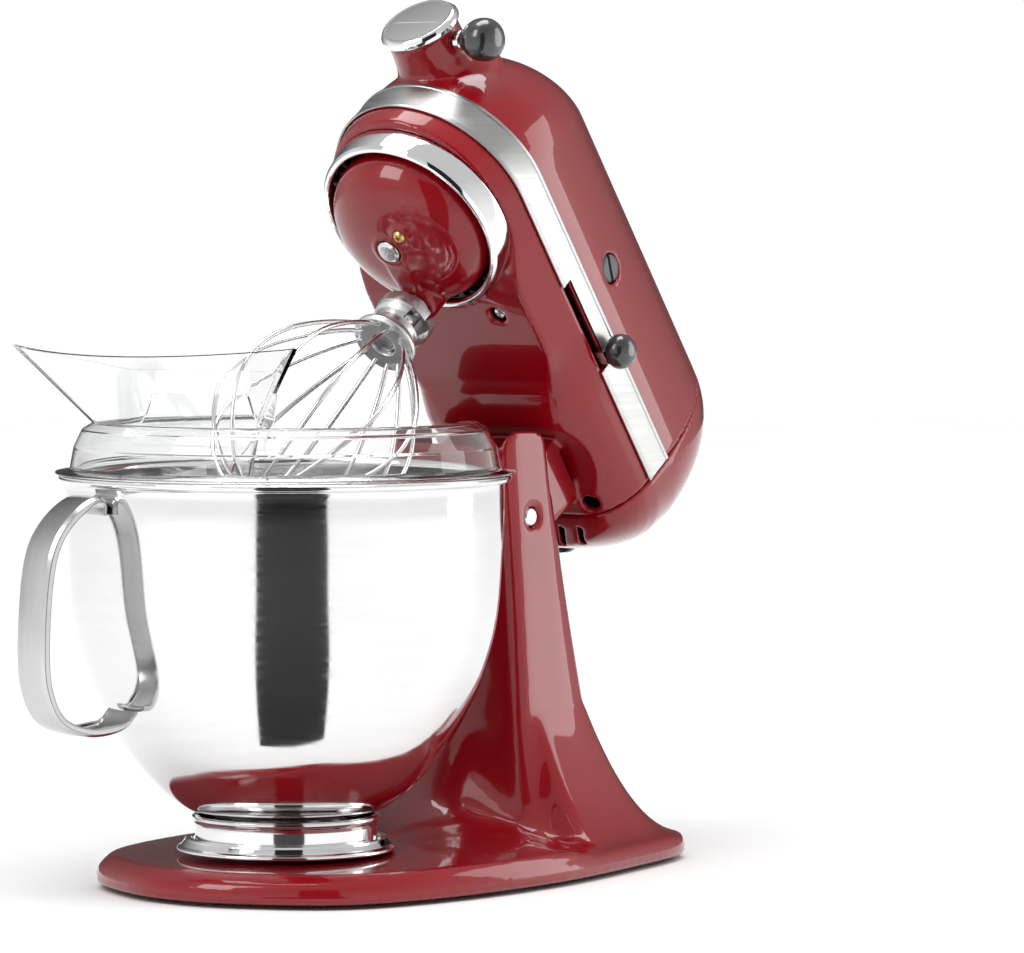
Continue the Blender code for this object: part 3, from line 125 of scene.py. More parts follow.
def lathe(profile, segments=96, centre=(0, 0, 0), axis="z", arc=None):
    """A closed profile of (radius, place along the axis), turned about the axis."""
    start, sweep = (0.0, FULL) if arc is None else (math.radians(arc[0]), math.radians(arc[1] - arc[0]))
    steps = segments if arc is None else segments + 1
    rings = [[turned(axis, r, start + sweep * k / segments, s, centre) for r, s in profile]
             for k in range(steps)]
    if arc is not None:
        return loft(rings)
    verts, faces = loft(rings, close=True)
    on_axis = {i for i, (r, s) in enumerate(profile) if r == 0}
    return verts, [face for face in faces if not {i % len(profile) for i in face} <= on_axis]


def prism(outline, low, high):
    return loft([[(x, y, low) for x, y in outline], [(x, y, high) for x, y in outline]])


def side_prism(outline, near, far):
    return loft([[(x, near, z) for x, z in outline], [(x, far, z) for x, z in outline]])


def block(x, y, z):
    return prism([(x[0], y[0]), (x[1], y[0]), (x[1], y[1]), (x[0], y[1])], z[0], z[1])


def circle(radius, count=48, centre=(0, 0)):
    return [(centre[0] + radius * math.cos(FULL * i / count), centre[1] + radius * math.sin(FULL * i / count))
            for i in range(count)]


def rounded(points, radius, steps=4, closed=True):
    """The outline with its corners rounded. A point on an axis (first value 0) stays sharp."""
    out = []
    count = len(points)
    for k, point in enumerate(points):
        p = Vector(point)
        a, b = Vector(points[k - 1]), Vector(points[(k + 1) % count])
        sharp = point[0] == 0 or (not closed and k in (0, count - 1))
        if sharp or (a - p).length < 1e-6 or (b - p).length < 1e-6:
            out.append(tuple(p))
            continue
        into, onto = (a - p).normalized(), (b - p).normalized()
        turn = math.pi - into.angle(onto)
        if turn < 0.12:
            out.append(tuple(p))
            continue
        reach = min(radius * math.tan(turn / 2), 0.45 * (a - p).length, 0.45 * (b - p).length)
        start, end = p + into * reach, p + onto * reach
        for i in range(steps + 1):
            t = i / steps
            out.append(tuple(start * (1 - t) ** 2 + p * 2 * t * (1 - t) + end * t * t))
    return out


def spline_point(four, t):
    a, b, c, d = four
    return 0.5 * (2 * b + (c - a) * t + (2 * a - 5 * b + 4 * c - d) * t * t + (3 * b - a - 3 * c + d) * t ** 3)


def smooth_line(points, steps=8):
    """A smooth curve through points, with the given steps from one to the next."""
    knots = [Vector(p) for p in points]
    knots = [2 * knots[0] - knots[1]] + knots + [2 * knots[-1] - knots[-2]]
    fine = [spline_point(knots[k - 1:k + 3], i / steps) for k in range(1, len(knots) - 2)
            for i in range(steps)]
    return fine + [knots[-2]]


def soft(profile, steps=6):
    """A turned profile as a smooth curve through its points. The first stays on the axis."""
    curve = [(p.x, p.y) for p in smooth_line([(r, s, 0) for r, s in profile], steps)]
    return [(0, curve[0][1])] + [(max(r, 0.05), s) for r, s in curve[1:]]


def evenly(fine, count):
    lengths = [0.0]
    for a, b in zip(fine, fine[1:]):
        lengths.append(lengths[-1] + (b - a).length)
    picked, k = [], 0
    for i in range(count):
        want = lengths[-1] * i / (count - 1)
        while k < len(fine) - 2 and lengths[k + 1] < want:
            k += 1
        span = max(lengths[k + 1] - lengths[k], 1e-9)
        picked.append(fine[k].lerp(fine[k + 1], (want - lengths[k]) / span))
    return picked


def tube(path, radius, sides=12):
    """A round section carried along a path without twisting."""
    points = [Vector(p) for p in path]
    rings, side = [], None
    for k, point in enumerate(points):
        ahead = (points[min(k + 1, len(points) - 1)] - points[max(k - 1, 0)]).normalized()
        if side is None:
            side = ahead.orthogonal().normalized()
        side = (side - ahead * side.dot(ahead)).normalized()
        over = ahead.cross(side)
        turns = [FULL * i / sides for i in range(sides)]
        rings.append([tuple(point + radius * (side * math.cos(a) + over * math.sin(a))) for a in turns])
    return loft(rings)


def smooth_step(x, low, high):
    t = min(max((x - low) / (high - low), 0.0), 1.0)
    return t * t * (3 - 2 * t)


# ---------------------------------------------------------------- objects

def solid(name, shapes, place, sharp=38):
    """One object from one or more closed shapes, in the row frame."""
    if isinstance(shapes, tuple):
        shapes = [shapes]
    work = bmesh.new()
    for verts, faces in shapes:
        corners = [work.verts.new(place @ Vector(v)) for v in verts]
        for face in faces:
            work.faces.new([corners[i] for i in face])
    bmesh.ops.remove_doubles(work, verts=work.verts, dist=2e-7)
    bmesh.ops.dissolve_degenerate(work, edges=work.edges, dist=2e-7)
    bmesh.ops.recalc_face_normals(work, faces=work.faces)
    mesh = bpy.data.meshes.new(name)
    work.to_mesh(mesh)
    work.free()
    made = bpy.data.objects.new(name, mesh)
    bpy.context.scene.collection.objects.link(made)
    shade(made, sharp)
    return made


def shade(made, sharp):
    made.data.shade_smooth()
    if sharp:
        made.data.set_sharp_from_angle(angle=math.radians(sharp))


def apply_all(made, sharp=None):
    bpy.context.view_layer.update()
    mesh = bpy.data.meshes.new_from_object(made.evaluated_get(bpy.context.evaluated_depsgraph_get()))
    made.modifiers.clear()
    made.data = mesh
    shade(made, sharp)
    return made


def shaped(target, tools, operation="DIFFERENCE", sharp=38):
    """Cut, join or keep with each tool in turn, then throw the tools away."""
    for tool in tools:
        modifier = target.modifiers.new(tool.name, "BOOLEAN")
        modifier.operation, modifier.solver, modifier.object = operation, "EXACT", tool
        weld = target.modifiers.new("weld", "WELD")
        weld.merge_threshold = WELD_DISTANCE
    apply_all(target, sharp)
    for tool in tools:
        bpy.data.objects.remove(tool)
    return target


def cast(target, voxel, soften=8):
    """A casting's skin: even mesh with every edge a little round."""
    remesh = target.modifiers.new("skin", "REMESH")
    remesh.mode, remesh.voxel_size, remesh.use_smooth_shade = "VOXEL", voxel * MM, True
    relax = target.modifiers.new("relax", "SMOOTH")
    relax.factor, relax.iterations = 0.5, soften
    return apply_all(target, None)


def show(made, body, material, slot, *nodes):
    """The finished piece rides on its body and stands for its CAD nodes."""
    made.data.materials.clear()
    made.data.materials.append(material)
    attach(made, body)
    if nodes:
        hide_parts(*nodes)
    return made


# ---------------------------------------------------------------- materials

class Nodes:
    """A short way to write a material's nodes."""

    def __init__(self, name):
        self.material = bpy.data.materials.new(name)
        self.material.use_nodes = True
        self.tree = self.material.node_tree
        self.shader = self.tree.nodes["Principled BSDF"]
        self.coordinates = self.add("ShaderNodeTexCoord").outputs["Object"]

    def add(self, kind, **values):
        node = self.tree.nodes.new(kind)
        for key, value in values.items():
            setattr(node, key, value)
        return node

    def link(self, out, into):
        self.tree.links.new(out, into)

    def noise(self, scale, detail=3.0, stretch=(1, 1, 1), turn=(0, 0, 0), roughness=0.5):
        place = self.add("ShaderNodeMapping")
        place.inputs["Rotation"].default_value = turn
        place.inputs["Scale"].default_value = stretch
        texture = self.add("ShaderNodeTexNoise")
        texture.inputs["Scale"].default_value = scale
        texture.inputs["Detail"].default_value = detail
        texture.inputs["Roughness"].default_value = roughness
        self.link(self.coordinates, place.inputs["Vector"])
        self.link(place.outputs["Vector"], texture.inputs["Vector"])
        return texture.outputs["Fac"]

    def spread(self, value, low, high):
        """The noise value as a number between low and high."""
        node = self.add("ShaderNodeMapRange")
        node.inputs["From Min"].default_value, node.inputs["From Max"].default_value = 0.3, 0.7
        node.inputs["To Min"].default_value, node.inputs["To Max"].default_value = low, high
        self.link(value, node.inputs["Value"])
        return node.outputs["Result"]

    def blend(self, value, first, second, into="Base Color"):
        ramp = self.add("ShaderNodeValToRGB")
        ramp.color_ramp.elements[0].position, ramp.color_ramp.elements[1].position = 0.32, 0.68
        ramp.color_ramp.elements[0].color = (*first, 1)
        ramp.color_ramp.elements[1].color = (*second, 1)
        self.link(value, ramp.inputs["Fac"])
        self.link(ramp.outputs["Color"], self.shader.inputs[into])

    def bump(self, value, strength, distance):
        node = self.add("ShaderNodeBump")
        node.inputs["Strength"].default_value, node.inputs["Distance"].default_value = strength, distance
        self.link(value, node.inputs["Height"])
        self.link(node.outputs["Normal"], self.shader.inputs["Normal"])

    def set(self, **values):
        for key, value in values.items():
            self.shader.inputs[key.replace("_", " ")].default_value = value


def shades(colour, share):
    return tuple(c * (1 - share) for c in colour), tuple(min(1.0, c * (1 + share)) for c in colour)


def enamel(name, colour=(0.215, 0.0012, 0.0055)):
    nodes = Nodes(name)
    nodes.set(Coat_Weight=1.0, Coat_Roughness=0.03, Coat_IOR=1.45, Specular_IOR_Level=0.12)
    nodes.blend(nodes.noise(9, 4), *shades(colour, 0.07))
    nodes.link(nodes.spread(nodes.noise(14, 3), 0.26, 0.34), nodes.shader.inputs["Roughness"])
    nodes.bump(nodes.noise(420, 2), 0.05, 0.0002)
    return nodes.material


def metal(name, colour, roughness, vary=0.04, grain=900, stretch=(1, 1, 1), turn=(0, 0, 0), depth=0.00004,
          tone=0.05):
    nodes = Nodes(name)
    nodes.set(Metallic=1.0)
    nodes.blend(nodes.noise(grain * 0.4, 3, stretch, turn), *shades(colour, tone))
    nodes.link(nodes.spread(nodes.noise(grain, 3, stretch, turn), max(0.0, roughness - vary),
                            roughness + vary), nodes.shader.inputs["Roughness"])
    nodes.bump(nodes.noise(grain, 2, stretch, turn), 0.3, depth)
    return nodes.material


def plastic(name, colour, roughness, coat=0.0, grain=500, depth=0.00003, tone=0.12):
    nodes = Nodes(name)
    nodes.set(Coat_Weight=coat, Coat_Roughness=0.05)
    nodes.blend(nodes.noise(60, 4), *shades(colour, tone))
    nodes.link(nodes.spread(nodes.noise(80, 3), roughness * 0.85, roughness * 1.15),
               nodes.shader.inputs["Roughness"])
    nodes.bump(nodes.noise(grain, 3), 0.25, depth)
    return nodes.material


def clear(name):
    nodes = Nodes(name)
    nodes.set(Transmission_Weight=1.0, IOR=1.45)
    nodes.blend(nodes.noise(25, 2), (0.965, 0.975, 0.98), (0.985, 0.99, 0.99))
    nodes.link(nodes.spread(nodes.noise(40, 3), 0.01, 0.035), nodes.shader.inputs["Roughness"])
    nodes.bump(nodes.noise(30, 2), 0.06, 0.0004)
    return nodes.material


TILT = math.atan2(-HEAD_BACK.z, HEAD_BACK.x)
ENAMEL = enamel("red_enamel")
CHROME = metal("polished_chrome", (0.86, 0.86, 0.87), 0.06, 0.03, 160, depth=0.00001, tone=0.02)
MIRROR = metal("polished_bowl_steel", (0.775, 0.775, 0.775), 0.085, 0.035, 60, (1, 1, 9), depth=0.00002,
               tone=0.02)
BRUSHED = metal("brushed_band", (0.43, 0.43, 0.425), 0.34, 0.05, 90, (0.35, 0.35, 22), (0, TILT, 0), 0.00004,
                0.06)
SATIN = metal("satin_steel", (0.72, 0.72, 0.72), 0.2, 0.06, 700, depth=0.00003)
SATIN_HANDLE = metal("handle_steel", (0.56, 0.56, 0.56), 0.2, 0.05, 260, (1, 1, 0.12), depth=0.00002)
WIRE = metal("drawn_wire", (0.74, 0.74, 0.74), 0.16, 0.05, 500, (1, 1, 0.1), (0, TILT, 0))
DIECAST = metal("die_cast", (0.66, 0.66, 0.66), 0.34, 0.08, 420, depth=0.00012)
IRON = metal("laminated_iron", (0.22, 0.22, 0.23), 0.45, 0.1, 300, (12, 0.4, 0.4), (0, TILT, 0), 0.0001, 0.2)
BRASS = metal("turned_brass", (0.66, 0.46, 0.17), 0.3, 0.08, 400, depth=0.00005)
COPPER = metal("copper_segments", (0.70, 0.33, 0.16), 0.34, 0.1, 300, depth=0.00006)
BLACK = plastic("black_gloss", (0.012, 0.012, 0.013), 0.28, 1.0)
CAP = plastic("dark_moulding", (0.045, 0.047, 0.05), 0.42, 0.2)
CARBON = plastic("pressed_carbon", (0.03, 0.03, 0.032), 0.75, depth=0.0001, tone=0.3)
RUBBER = plastic("foot_rubber", (0.32, 0.32, 0.31), 0.8, depth=0.0001)
BOARD = plastic("circuit_board", (0.04, 0.16, 0.07), 0.5, tone=0.3)
CLEAR = clear("clear_moulding")

# ---------------------------------------------------------------- camera, light and floor

BACKDROP_STRENGTH = 1.02  # the world that the camera sees is just over white
SUN_STRENGTH, SUN_SPREAD = 2.1, 60
CARD_LEFT, CARD_RIGHT = -730, 1420  # what the bowl mirrors as a dark stripe, seen from the camera's side
TARGET = Vector((-0.0148, -0.0876, 0.2026))
AZIMUTH, ELEVATION, DISTANCE, LENS = math.radians(52.17), math.radians(2.75), 2.7715, 198.9


def camera_and_light():
    lens = bpy.data.cameras.new("camera")
    lens.lens, lens.sensor_width, lens.clip_end = LENS, 36.0, 50.0
    camera = bpy.data.objects.new("camera", lens)
    bpy.context.scene.collection.objects.link(camera)
    bpy.context.scene.camera = camera
    toward = Vector((-math.sin(AZIMUTH) * math.cos(ELEVATION), -math.cos(AZIMUTH) * math.cos(ELEVATION),
                     math.sin(ELEVATION)))
    camera.location = TARGET + toward * DISTANCE
    camera.rotation_euler = (-toward).to_track_quat("-Z", "Y").to_euler()

    world = bpy.data.worlds.new("studio")
    bpy.context.scene.world = world
    world.use_nodes = True
    tree = world.node_tree
    ground = tree.nodes["Background"]
    seen = tree.nodes.new("ShaderNodeBackground")
    seen.inputs["Strength"].default_value = BACKDROP_STRENGTH
    seen.inputs["Color"].default_value = (1, 1, 1, 1)
    direction = tree.nodes.new("ShaderNodeTexCoord")
    split = tree.nodes.new("ShaderNodeSeparateXYZ")
    ramp = tree.nodes.new("ShaderNodeValToRGB")          # bright round the horizon, a dim ceiling
    for stop, height, grey in zip(ramp.color_ramp.elements, (0.08, 0.55), (1.0, 0.62)):
        stop.position, stop.color = height, (grey, grey, grey, 1)
    away = tree.nodes.new("ShaderNodeVectorMath")  # a dark flag behind the mixer keeps its edges dark
    away.operation = "DOT_PRODUCT"
    away.inputs[1].default_value = -toward
    flag = tree.nodes.new("ShaderNodeMapRange")
    for socket, value in (("From Min", 0.35), ("From Max", 0.92), ("To Min", 1.0), ("To Max", 0.10)):
        flag.inputs[socket].default_value = value
    path = tree.nodes.new("ShaderNodeLightPath")
    either = tree.nodes.new("ShaderNodeMath")
    either.operation = "MAXIMUM"
    blend = tree.nodes.new("ShaderNodeMixShader")
    for out, into in (
            (direction.outputs["Generated"], split.inputs[0]),
            (split.outputs["Z"], ramp.inputs["Fac"]),
            (ramp.outputs["Color"], ground.inputs["Color"]),
            (direction.outputs["Generated"], away.inputs[0]),
            (away.outputs["Value"], flag.inputs["Value"]),
            (flag.outputs["Result"], ground.inputs["Strength"]),
            (path.outputs["Is Camera Ray"], either.inputs[0]),
            (path.outputs["Is Transmission Ray"], either.inputs[1]),
            (either.outputs[0], blend.inputs[0]),
            (ground.outputs[0], blend.inputs[1]),
            (seen.outputs[0], blend.inputs[2]),
            (blend.outputs[0], tree.nodes["World Output"].inputs["Surface"])):
        tree.links.new(out, into)
    bpy.context.scene.view_settings.view_transform = "Standard"

    level = Vector((toward.x, toward.y, 0)).normalized()
    right = Vector((-level.y, level.x, 0))
    for name, across, ahead, height, size, radiance, diffuse, glossy in (
            ("softbox_left", -1.5, 1.1, 1.5, (1.0, 1.2), 6.0, False, True),
            ("softbox_right", 2.1, -0.5, 0.75, (0.8, 1.5), 2.6, False, True),
            ("softbox_top", -0.1, -0.3, 2.2, (1.5, 1.0), 6.0, False, True),
            ("fill_left", -1.4, 1.6, 1.7, (1.2, 1.2), 2.6, True, False),
            ("fill_right", 1.9, 0.6, 1.4, (1.0, 1.2), 2.4, True, False)):
        lamp = bpy.data.lights.new(name, "AREA")
        lamp.shape, lamp.size, lamp.size_y = "RECTANGLE", *size
        lamp.energy = radiance * math.pi * size[0] * size[1]
        place = bpy.data.objects.new(name, lamp)
        bpy.context.scene.collection.objects.link(place)
        place.location = Vector((0, 0, height)) + right * across + level * ahead
        place.rotation_euler = (Vector((0, 0, 0.22)) - place.location).to_track_quat("-Z", "Y").to_euler()
        place.visible_diffuse, place.visible_glossy, place.visible_transmission = diffuse, glossy, False
    sun = bpy.data.lights.new("overhead", "SUN")
    sun.energy, sun.angle = SUN_STRENGTH, math.radians(SUN_SPREAD)
    high = bpy.data.objects.new("overhead", sun)
    bpy.context.scene.collection.objects.link(high)
    high.rotation_euler = (-(level * 0.3 + Vector((0, 0, 1)))).to_track_quat("-Z", "Y").to_euler()
    high.visible_glossy = False

    floor = solid("floor", prism(circle(6000, 96), -4, -0.2), Matrix.Scale(MM, 4))
    floor.data.materials.append(plain("floor_white", (0.92, 0.92, 0.92), 0.6))
    wall = prism([(CARD_LEFT, -3300), (CARD_RIGHT, -3300), (CARD_RIGHT, -3280), (CARD_LEFT, -3280)], -10, 2600)
    near = 0.036
    strip = prism([(CARD_LEFT, -3300), (CARD_RIGHT, -3300), (CARD_RIGHT * near, -3300 * near),
                   (CARD_LEFT * near, -3300 * near)], 0.2, 1.0)
    card = solid("dark_card", [wall, strip],
                 Matrix.Translation(BOWL_PLACE) @ Matrix.Rotation(-AZIMUTH, 4, "Z") @ Matrix.Scale(MM, 4))
    card.data.materials.append(plain("card_black", (0.012, 0.012, 0.012), 0.9))
    card.visible_camera = card.visible_diffuse = card.visible_shadow = card.visible_transmission = False


def plain(name, colour, roughness):
    nodes = Nodes(name)
    nodes.blend(nodes.noise(3), *shades(colour, 0.005))
    nodes.set(Roughness=roughness)
    return nodes.material


# ---------------------------------------------------------------- stand

def base_line():
    half = [(x, y, 0) for x, y in BASE_OUTLINE]
    whole = [Vector(p) for p in [(half[1][0], -half[1][1], 0)] + half + [(half[-2][0], -half[-2][1], 0)]]
    spans = range(1, len(whole) - 2)
    return [spline_point(whole[k - 1:k + 3], i / 24) for k in spans for i in range(24)] + [whole[-2]]


def column_half_width(z):
    return EAR_OUTER_Y + 0.00055 * max(0.0, YOKE_TOP_Z - z) ** 1.9


def column_front_x(z):
    return 126.0 + 5.0 * math.sin(math.pi * min(1.0, max(0.0, (YOKE_TOP_Z - z) / 190)))


def column_rear_x(z):
    return 178.0 + 0.22 * (158.0 - z) - 0.0005 * max(0.0, z - 158.0) ** 2


def ray_to_box(angle, z):
    """Where a ray from the column's middle meets its rounded rectangular section."""
    c, s = math.cos(angle), math.sin(angle)
    reach = column_rear_x(z) - COLUMN_CENTRE_X if c > 0 else COLUMN_CENTRE_X - column_front_x(z)
    power = 5.0 if c > 0 else 9.0
    return 1 / ((abs(c) / reach) ** power + (abs(s) / column_half_width(z)) ** power) ** (1 / power)


def ray_to_base(angle, outline):
    want = abs(math.atan2(math.sin(angle), math.cos(angle)))
    for a, b in zip(outline, outline[1:]):
        ta, tb = (math.atan2(p.y, p.x - COLUMN_CENTRE_X) for p in (a, b))
        if min(ta, tb) - 1e-9 <= want <= max(ta, tb) + 1e-9:
            p = a.lerp(b, 0 if ta == tb else (want - ta) / (tb - ta))
            return math.hypot(p.x - COLUMN_CENTRE_X, p.y)


def pedestal_form():
    """Rings from the underside up: the base's edge, its deck and flare, and the column."""
    rays = [FULL * i / 180 for i in range(180)]
    outline = base_line()
    reach = [ray_to_base(a, outline) for a in rays]
    foot = [ray_to_box(a, COLUMN_FOOT_Z) for a in rays]
    front = [smooth_step(min(a, FULL - a), math.radians(100), math.radians(128)) for a in rays]
    rings = []

    def ring(radii, heights):
        rings.append([(COLUMN_CENTRE_X + r * math.cos(a), r * math.sin(a), z)
                      for a, r, z in zip(rays, radii, heights)])

    for pull_in, height in ((2.0, BASE_FOOT_Z), (0.6, BASE_FOOT_Z + 0.5), (0.0, BASE_FOOT_Z + 1.8),
                            (0.0, BASE_EDGE_Z - 2), (0.35, BASE_EDGE_Z), (1.2, BASE_EDGE_Z + 2.0),
                            (2.6, BASE_EDGE_Z + 3.6)):
        ring([r - pull_in for r in reach], [height] * len(rays))
    for k in range(31):
        d = 0.96 * (1 - k / 30) ** 1.5
        radii, heights = [], []
        for full, near, f in zip(reach, foot, front):
            power = 2.0 + 8.5 * f
            deck = (DECK_Z - 2.5) * f + BASE_EDGE_Z * (1 - f) + 2.5 * f * min(1.0, (1 - d) / 0.6)
            edge = 3.0 * smooth_step(d, 0.6, 0.96) * (1 - f)
            radii.append(near + (full - near) * d)
            heights.append(max(deck + edge, BASE_EDGE_Z + 3.7) + (COLUMN_FOOT_Z - deck) * (1 - d) ** power)
        ring(radii, heights)
    for z in range(80, 228, 6):
        ring([ray_to_box(a, z) for a in rays], [z] * len(rays))
    return loft(rings)


def stand_pieces():
    front, rear = column_front_x(YOKE_TOP_Z), 300
    pedestal = solid("pedestal_casting", pedestal_form(), ON_STAND)
    crown = rounded([(-120, -5), (-120, 205), (50, 205), (front + 0.5, 213.5), (front + 6, 219.5),
                     (front + 12, YOKE_TOP_Z), (front + 27, YOKE_TOP_Z - 0.3), (front + 33, 218.5),
                     (front + 36, 213), (front + 38.5, 190), (320, 110), (320, -5)], 5)
    shaped(pedestal, [solid("crown", side_prism(crown, -130, 130), ON_STAND)], "INTERSECT")
    pocket = rounded([(front + 5, 240), (front + 6, 172), (front + 14, YOKE_FLOOR_Z),
                      (rear, YOKE_FLOOR_Z - 18), (rear, 240)], 3)
    core = [[(x, y, z) for x, y in ((136, -wide), (back, -wide), (back, wide), (136, wide))]
            for back, wide, z in ((210, 62, -5), (196, 50, 30), (182, 38, 60), (172, 31, YOKE_FLOOR_Z - 24))]
    tray = []
    for p in base_line() + [Vector((q.x, -q.y, 0)) for q in reversed(base_line()[1:-1])]:
        reach = math.hypot(p.x - COLUMN_CENTRE_X, p.y)
        share = (reach - 9.0) / reach
        tray.append((COLUMN_CENTRE_X + (p.x - COLUMN_CENTRE_X) * share, p.y * share))
    tools = [side_prism(pocket, -EAR_INNER_Y, EAR_INNER_Y),
             block((100, 150), (-EAR_INNER_Y, EAR_INNER_Y), (213, 240)), loft(core), prism(tray, -5, 8),
             lathe([(0, -50), (5.3, -50), (5.3, 50), (0, 50)], 48, (PIN.x, 0, PIN.z), "y"),
             prism(circle(54.5), SEAT_Z - GAP, 60),
             lathe([(0, 130), (4.3, 130), (4.3, 180), (0, 180)], 32, (PIN.x + 2, 0, 0))]
    shaped(pedestal, [solid(f"tool_{k}", shape, ON_STAND) for k, shape in enumerate(tools)])
    show(cast(pedestal, 1.5, 8), "stand", ENAMEL, "enamel", "pedestal")

    pin = [(0, -37.6), (3.9, -37.6), (4.9, -36.6), (4.9, 36.6), (3.9, 37.6), (0, 37.6)]
    show(solid("hinge_pin_turned", lathe(rounded(pin, 0.5), 64, (PIN.x, 0, PIN.z), "y"), ON_STAND),
         "stand", SATIN, "steel", "hinge_pin")
    for k, (x, y) in enumerate([(-62, 0), (60, 84), (60, -84), (212, 58), (212, -58)]):
        profile = [(0, 0), (8.2, 0), (9.0, 0.8), (9.0, BASE_FOOT_Z + 1.0), (5.0, BASE_FOOT_Z + 1.0),
                   (5.0, 8.2), (0, 8.2)]
        show(solid(f"foot_pad_{k + 1}", lathe(rounded(profile, 0.5), 48, (x, y, 0)), ON_STAND),
             "stand", RUBBER, "rubber", f"foot_{k + 1}")
    plate = [(0, SEAT_Z), (53.2, SEAT_Z), (53.9, 20.0), (53.7, 21.2), (51.8, 22.2), (50.0, 24.6), (49.4, 26.0),
             (46.4, 26.0), (46.4, 24.2), (48.2, 24.2), (48.2, 20.9), (0, 20.9)]
    made = solid("clamp_plate_polished", lathe(rounded(plate, 1.2), 160), ON_STAND)
    notches = [solid(f"notch_{k}", lathe([(45.0, 22.7), (52.0, 22.7), (52.0, 27.0), (45.0, 27.0)], 12,
                                         arc=(104 + 180 * k, 126 + 180 * k)), ON_STAND) for k in range(2)]
    show(shaped(made, notches), "stand", CHROME, "chrome", "bowl_clamp_plate")


# ---------------------------------------------------------------- head castings

def head_plan(t):
    if t < 0.30:
        angle = math.pi - t / 0.30 * math.pi / 2
        return (HEAD_HALF_WIDTH + 0.5) * math.cos(angle), HEAD_HALF_WIDTH * math.sin(angle)
    if t < 0.62:
        return (t - 0.30) / 0.32 * END_SEAM_X, HEAD_HALF_WIDTH
    angle = (t - 0.62) / 0.38 * math.pi / 2
    return (END_SEAM_X + (HEAD_REAR_X - END_SEAM_X) * math.sin(angle) ** (2 / 2.3),
            HEAD_HALF_WIDTH * max(0.0, math.cos(angle)) ** (2 / 2.3))


def head_underside(x):
    chin = 7.4 * smooth_step(x, 96, 124)
    rise = 1.5 * smooth_step(x, 124, 170) - 1.5 * smooth_step(x, 170, 200)
    return HEAD_BOTTOM_Z + 12.0 * (1 - smooth_step(x, 6, 44)) - chin + rise


def head_corner(x):
    broad = 50.0 + 2.0 * (1 - smooth_step(x, 6, 44))
    return broad + (33.0 - broad) * smooth_step(x, 78, 120)


def head_form(inset):
    """The whole head as rings from its underside's centre line to its crown."""
    steps = 72
    plan = [head_plan(i / steps) for i in range(steps + 1)]
    rings = []

    def ring(shape):
        side = [shape(x, y) for x, y in plan]
        rings.append(side + [(x, -y, z) for x, y, z in reversed(side[1:-1])])

    def fit(x, share, z):
        if x < 0:
            return (x + inset) * (0.94 + 0.06 * share if share < 1 else 1.0) * min(1.0, share + 0.06)
        if x > END_SEAM_X:
            low = head_underside(x)
            t = min(1.0, max(0.0, (z - low) / (HEAD_MID_Z - low)))
            run = (x - END_SEAM_X) * (1 - inset / (HEAD_REAR_X - END_SEAM_X))
            return END_SEAM_X + run * (0.42 + 0.58 * math.sin(t * math.pi / 2) ** 0.9)
        return x

    def lower(level):
        def shape(x, y):
            bottom = head_underside(x) + inset
            share = max(2.0, head_corner(x) - inset) / HEAD_HALF_WIDTH
            wide = max(0.0, abs(y) - inset * abs(y) / HEAD_HALF_WIDTH)
            tight = smooth_step(x, 78, 120)
            bulge = math.sqrt(max(0.0, 1 - (1 - level) ** 2))
            straight = share + (1 - share) * (tight * bulge + (1 - tight) * level)
            z = bottom + (BAND_Z[0] + 1 - bottom) * level
            return fit(x, straight, z), wide * straight, z
        return shape

    ring(lambda x, y: (lower(0.0)(x, y)[0], 0.0, lower(0.0)(x, y)[2]))
    for level in (0.0, 0.04, 0.1, 0.18, 0.28, 0.4, 0.55, 0.75, 1.0):
        ring(lower(level))
    for k in range(25):
        c, s = math.cos(math.radians(3.75 * k)), math.sin(math.radians(3.75 * k))

        def upper(x, y, c=c, s=s):
            ridge_front, ridge_rear = 34.0, 176.0
            if x < ridge_front:
                x_new = ridge_front + (x - ridge_front) * c
                x = min(x_new + inset * c, ridge_front) if x_new < 0 else x_new
            elif x > ridge_rear:
                x = max(ridge_rear + (x - ridge_rear) * max(c, 0.0) ** 0.85 - inset * c, ridge_rear)
            wide = y * (HEAD_HALF_WIDTH - inset) / HEAD_HALF_WIDTH
            return x, wide * max(c, 0.0), HEAD_MID_Z + (HEAD_TOP_Z - HEAD_MID_Z - inset) * s
        ring(upper)
    return loft(rings, caps=False)


def head_solid(name, inset=0.0):
    return solid(name, head_form(inset), ON_HEAD)


def tools_on_head(*shapes):
    return [solid(f"tool_{k}", shape, ON_HEAD) for k, shape in enumerate(shapes)]


def across_pin(radius, reach, segments=96):
    return lathe([(0, -reach), (radius, -reach), (radius, reach), (0, reach)], segments, (PIN.x, 0, PIN.z),
                 "y")


GEARCASE_SCREWS = [(56.3, -29.1, 229.0), (56.3, 29.1, 229.0), (174.0, -38.0, 228.0), (174.0, 38.0, 228.0)]
LEVER_SLOTS = (((56, 110), (-62, -48)), ((108, 134), (48, 62)))


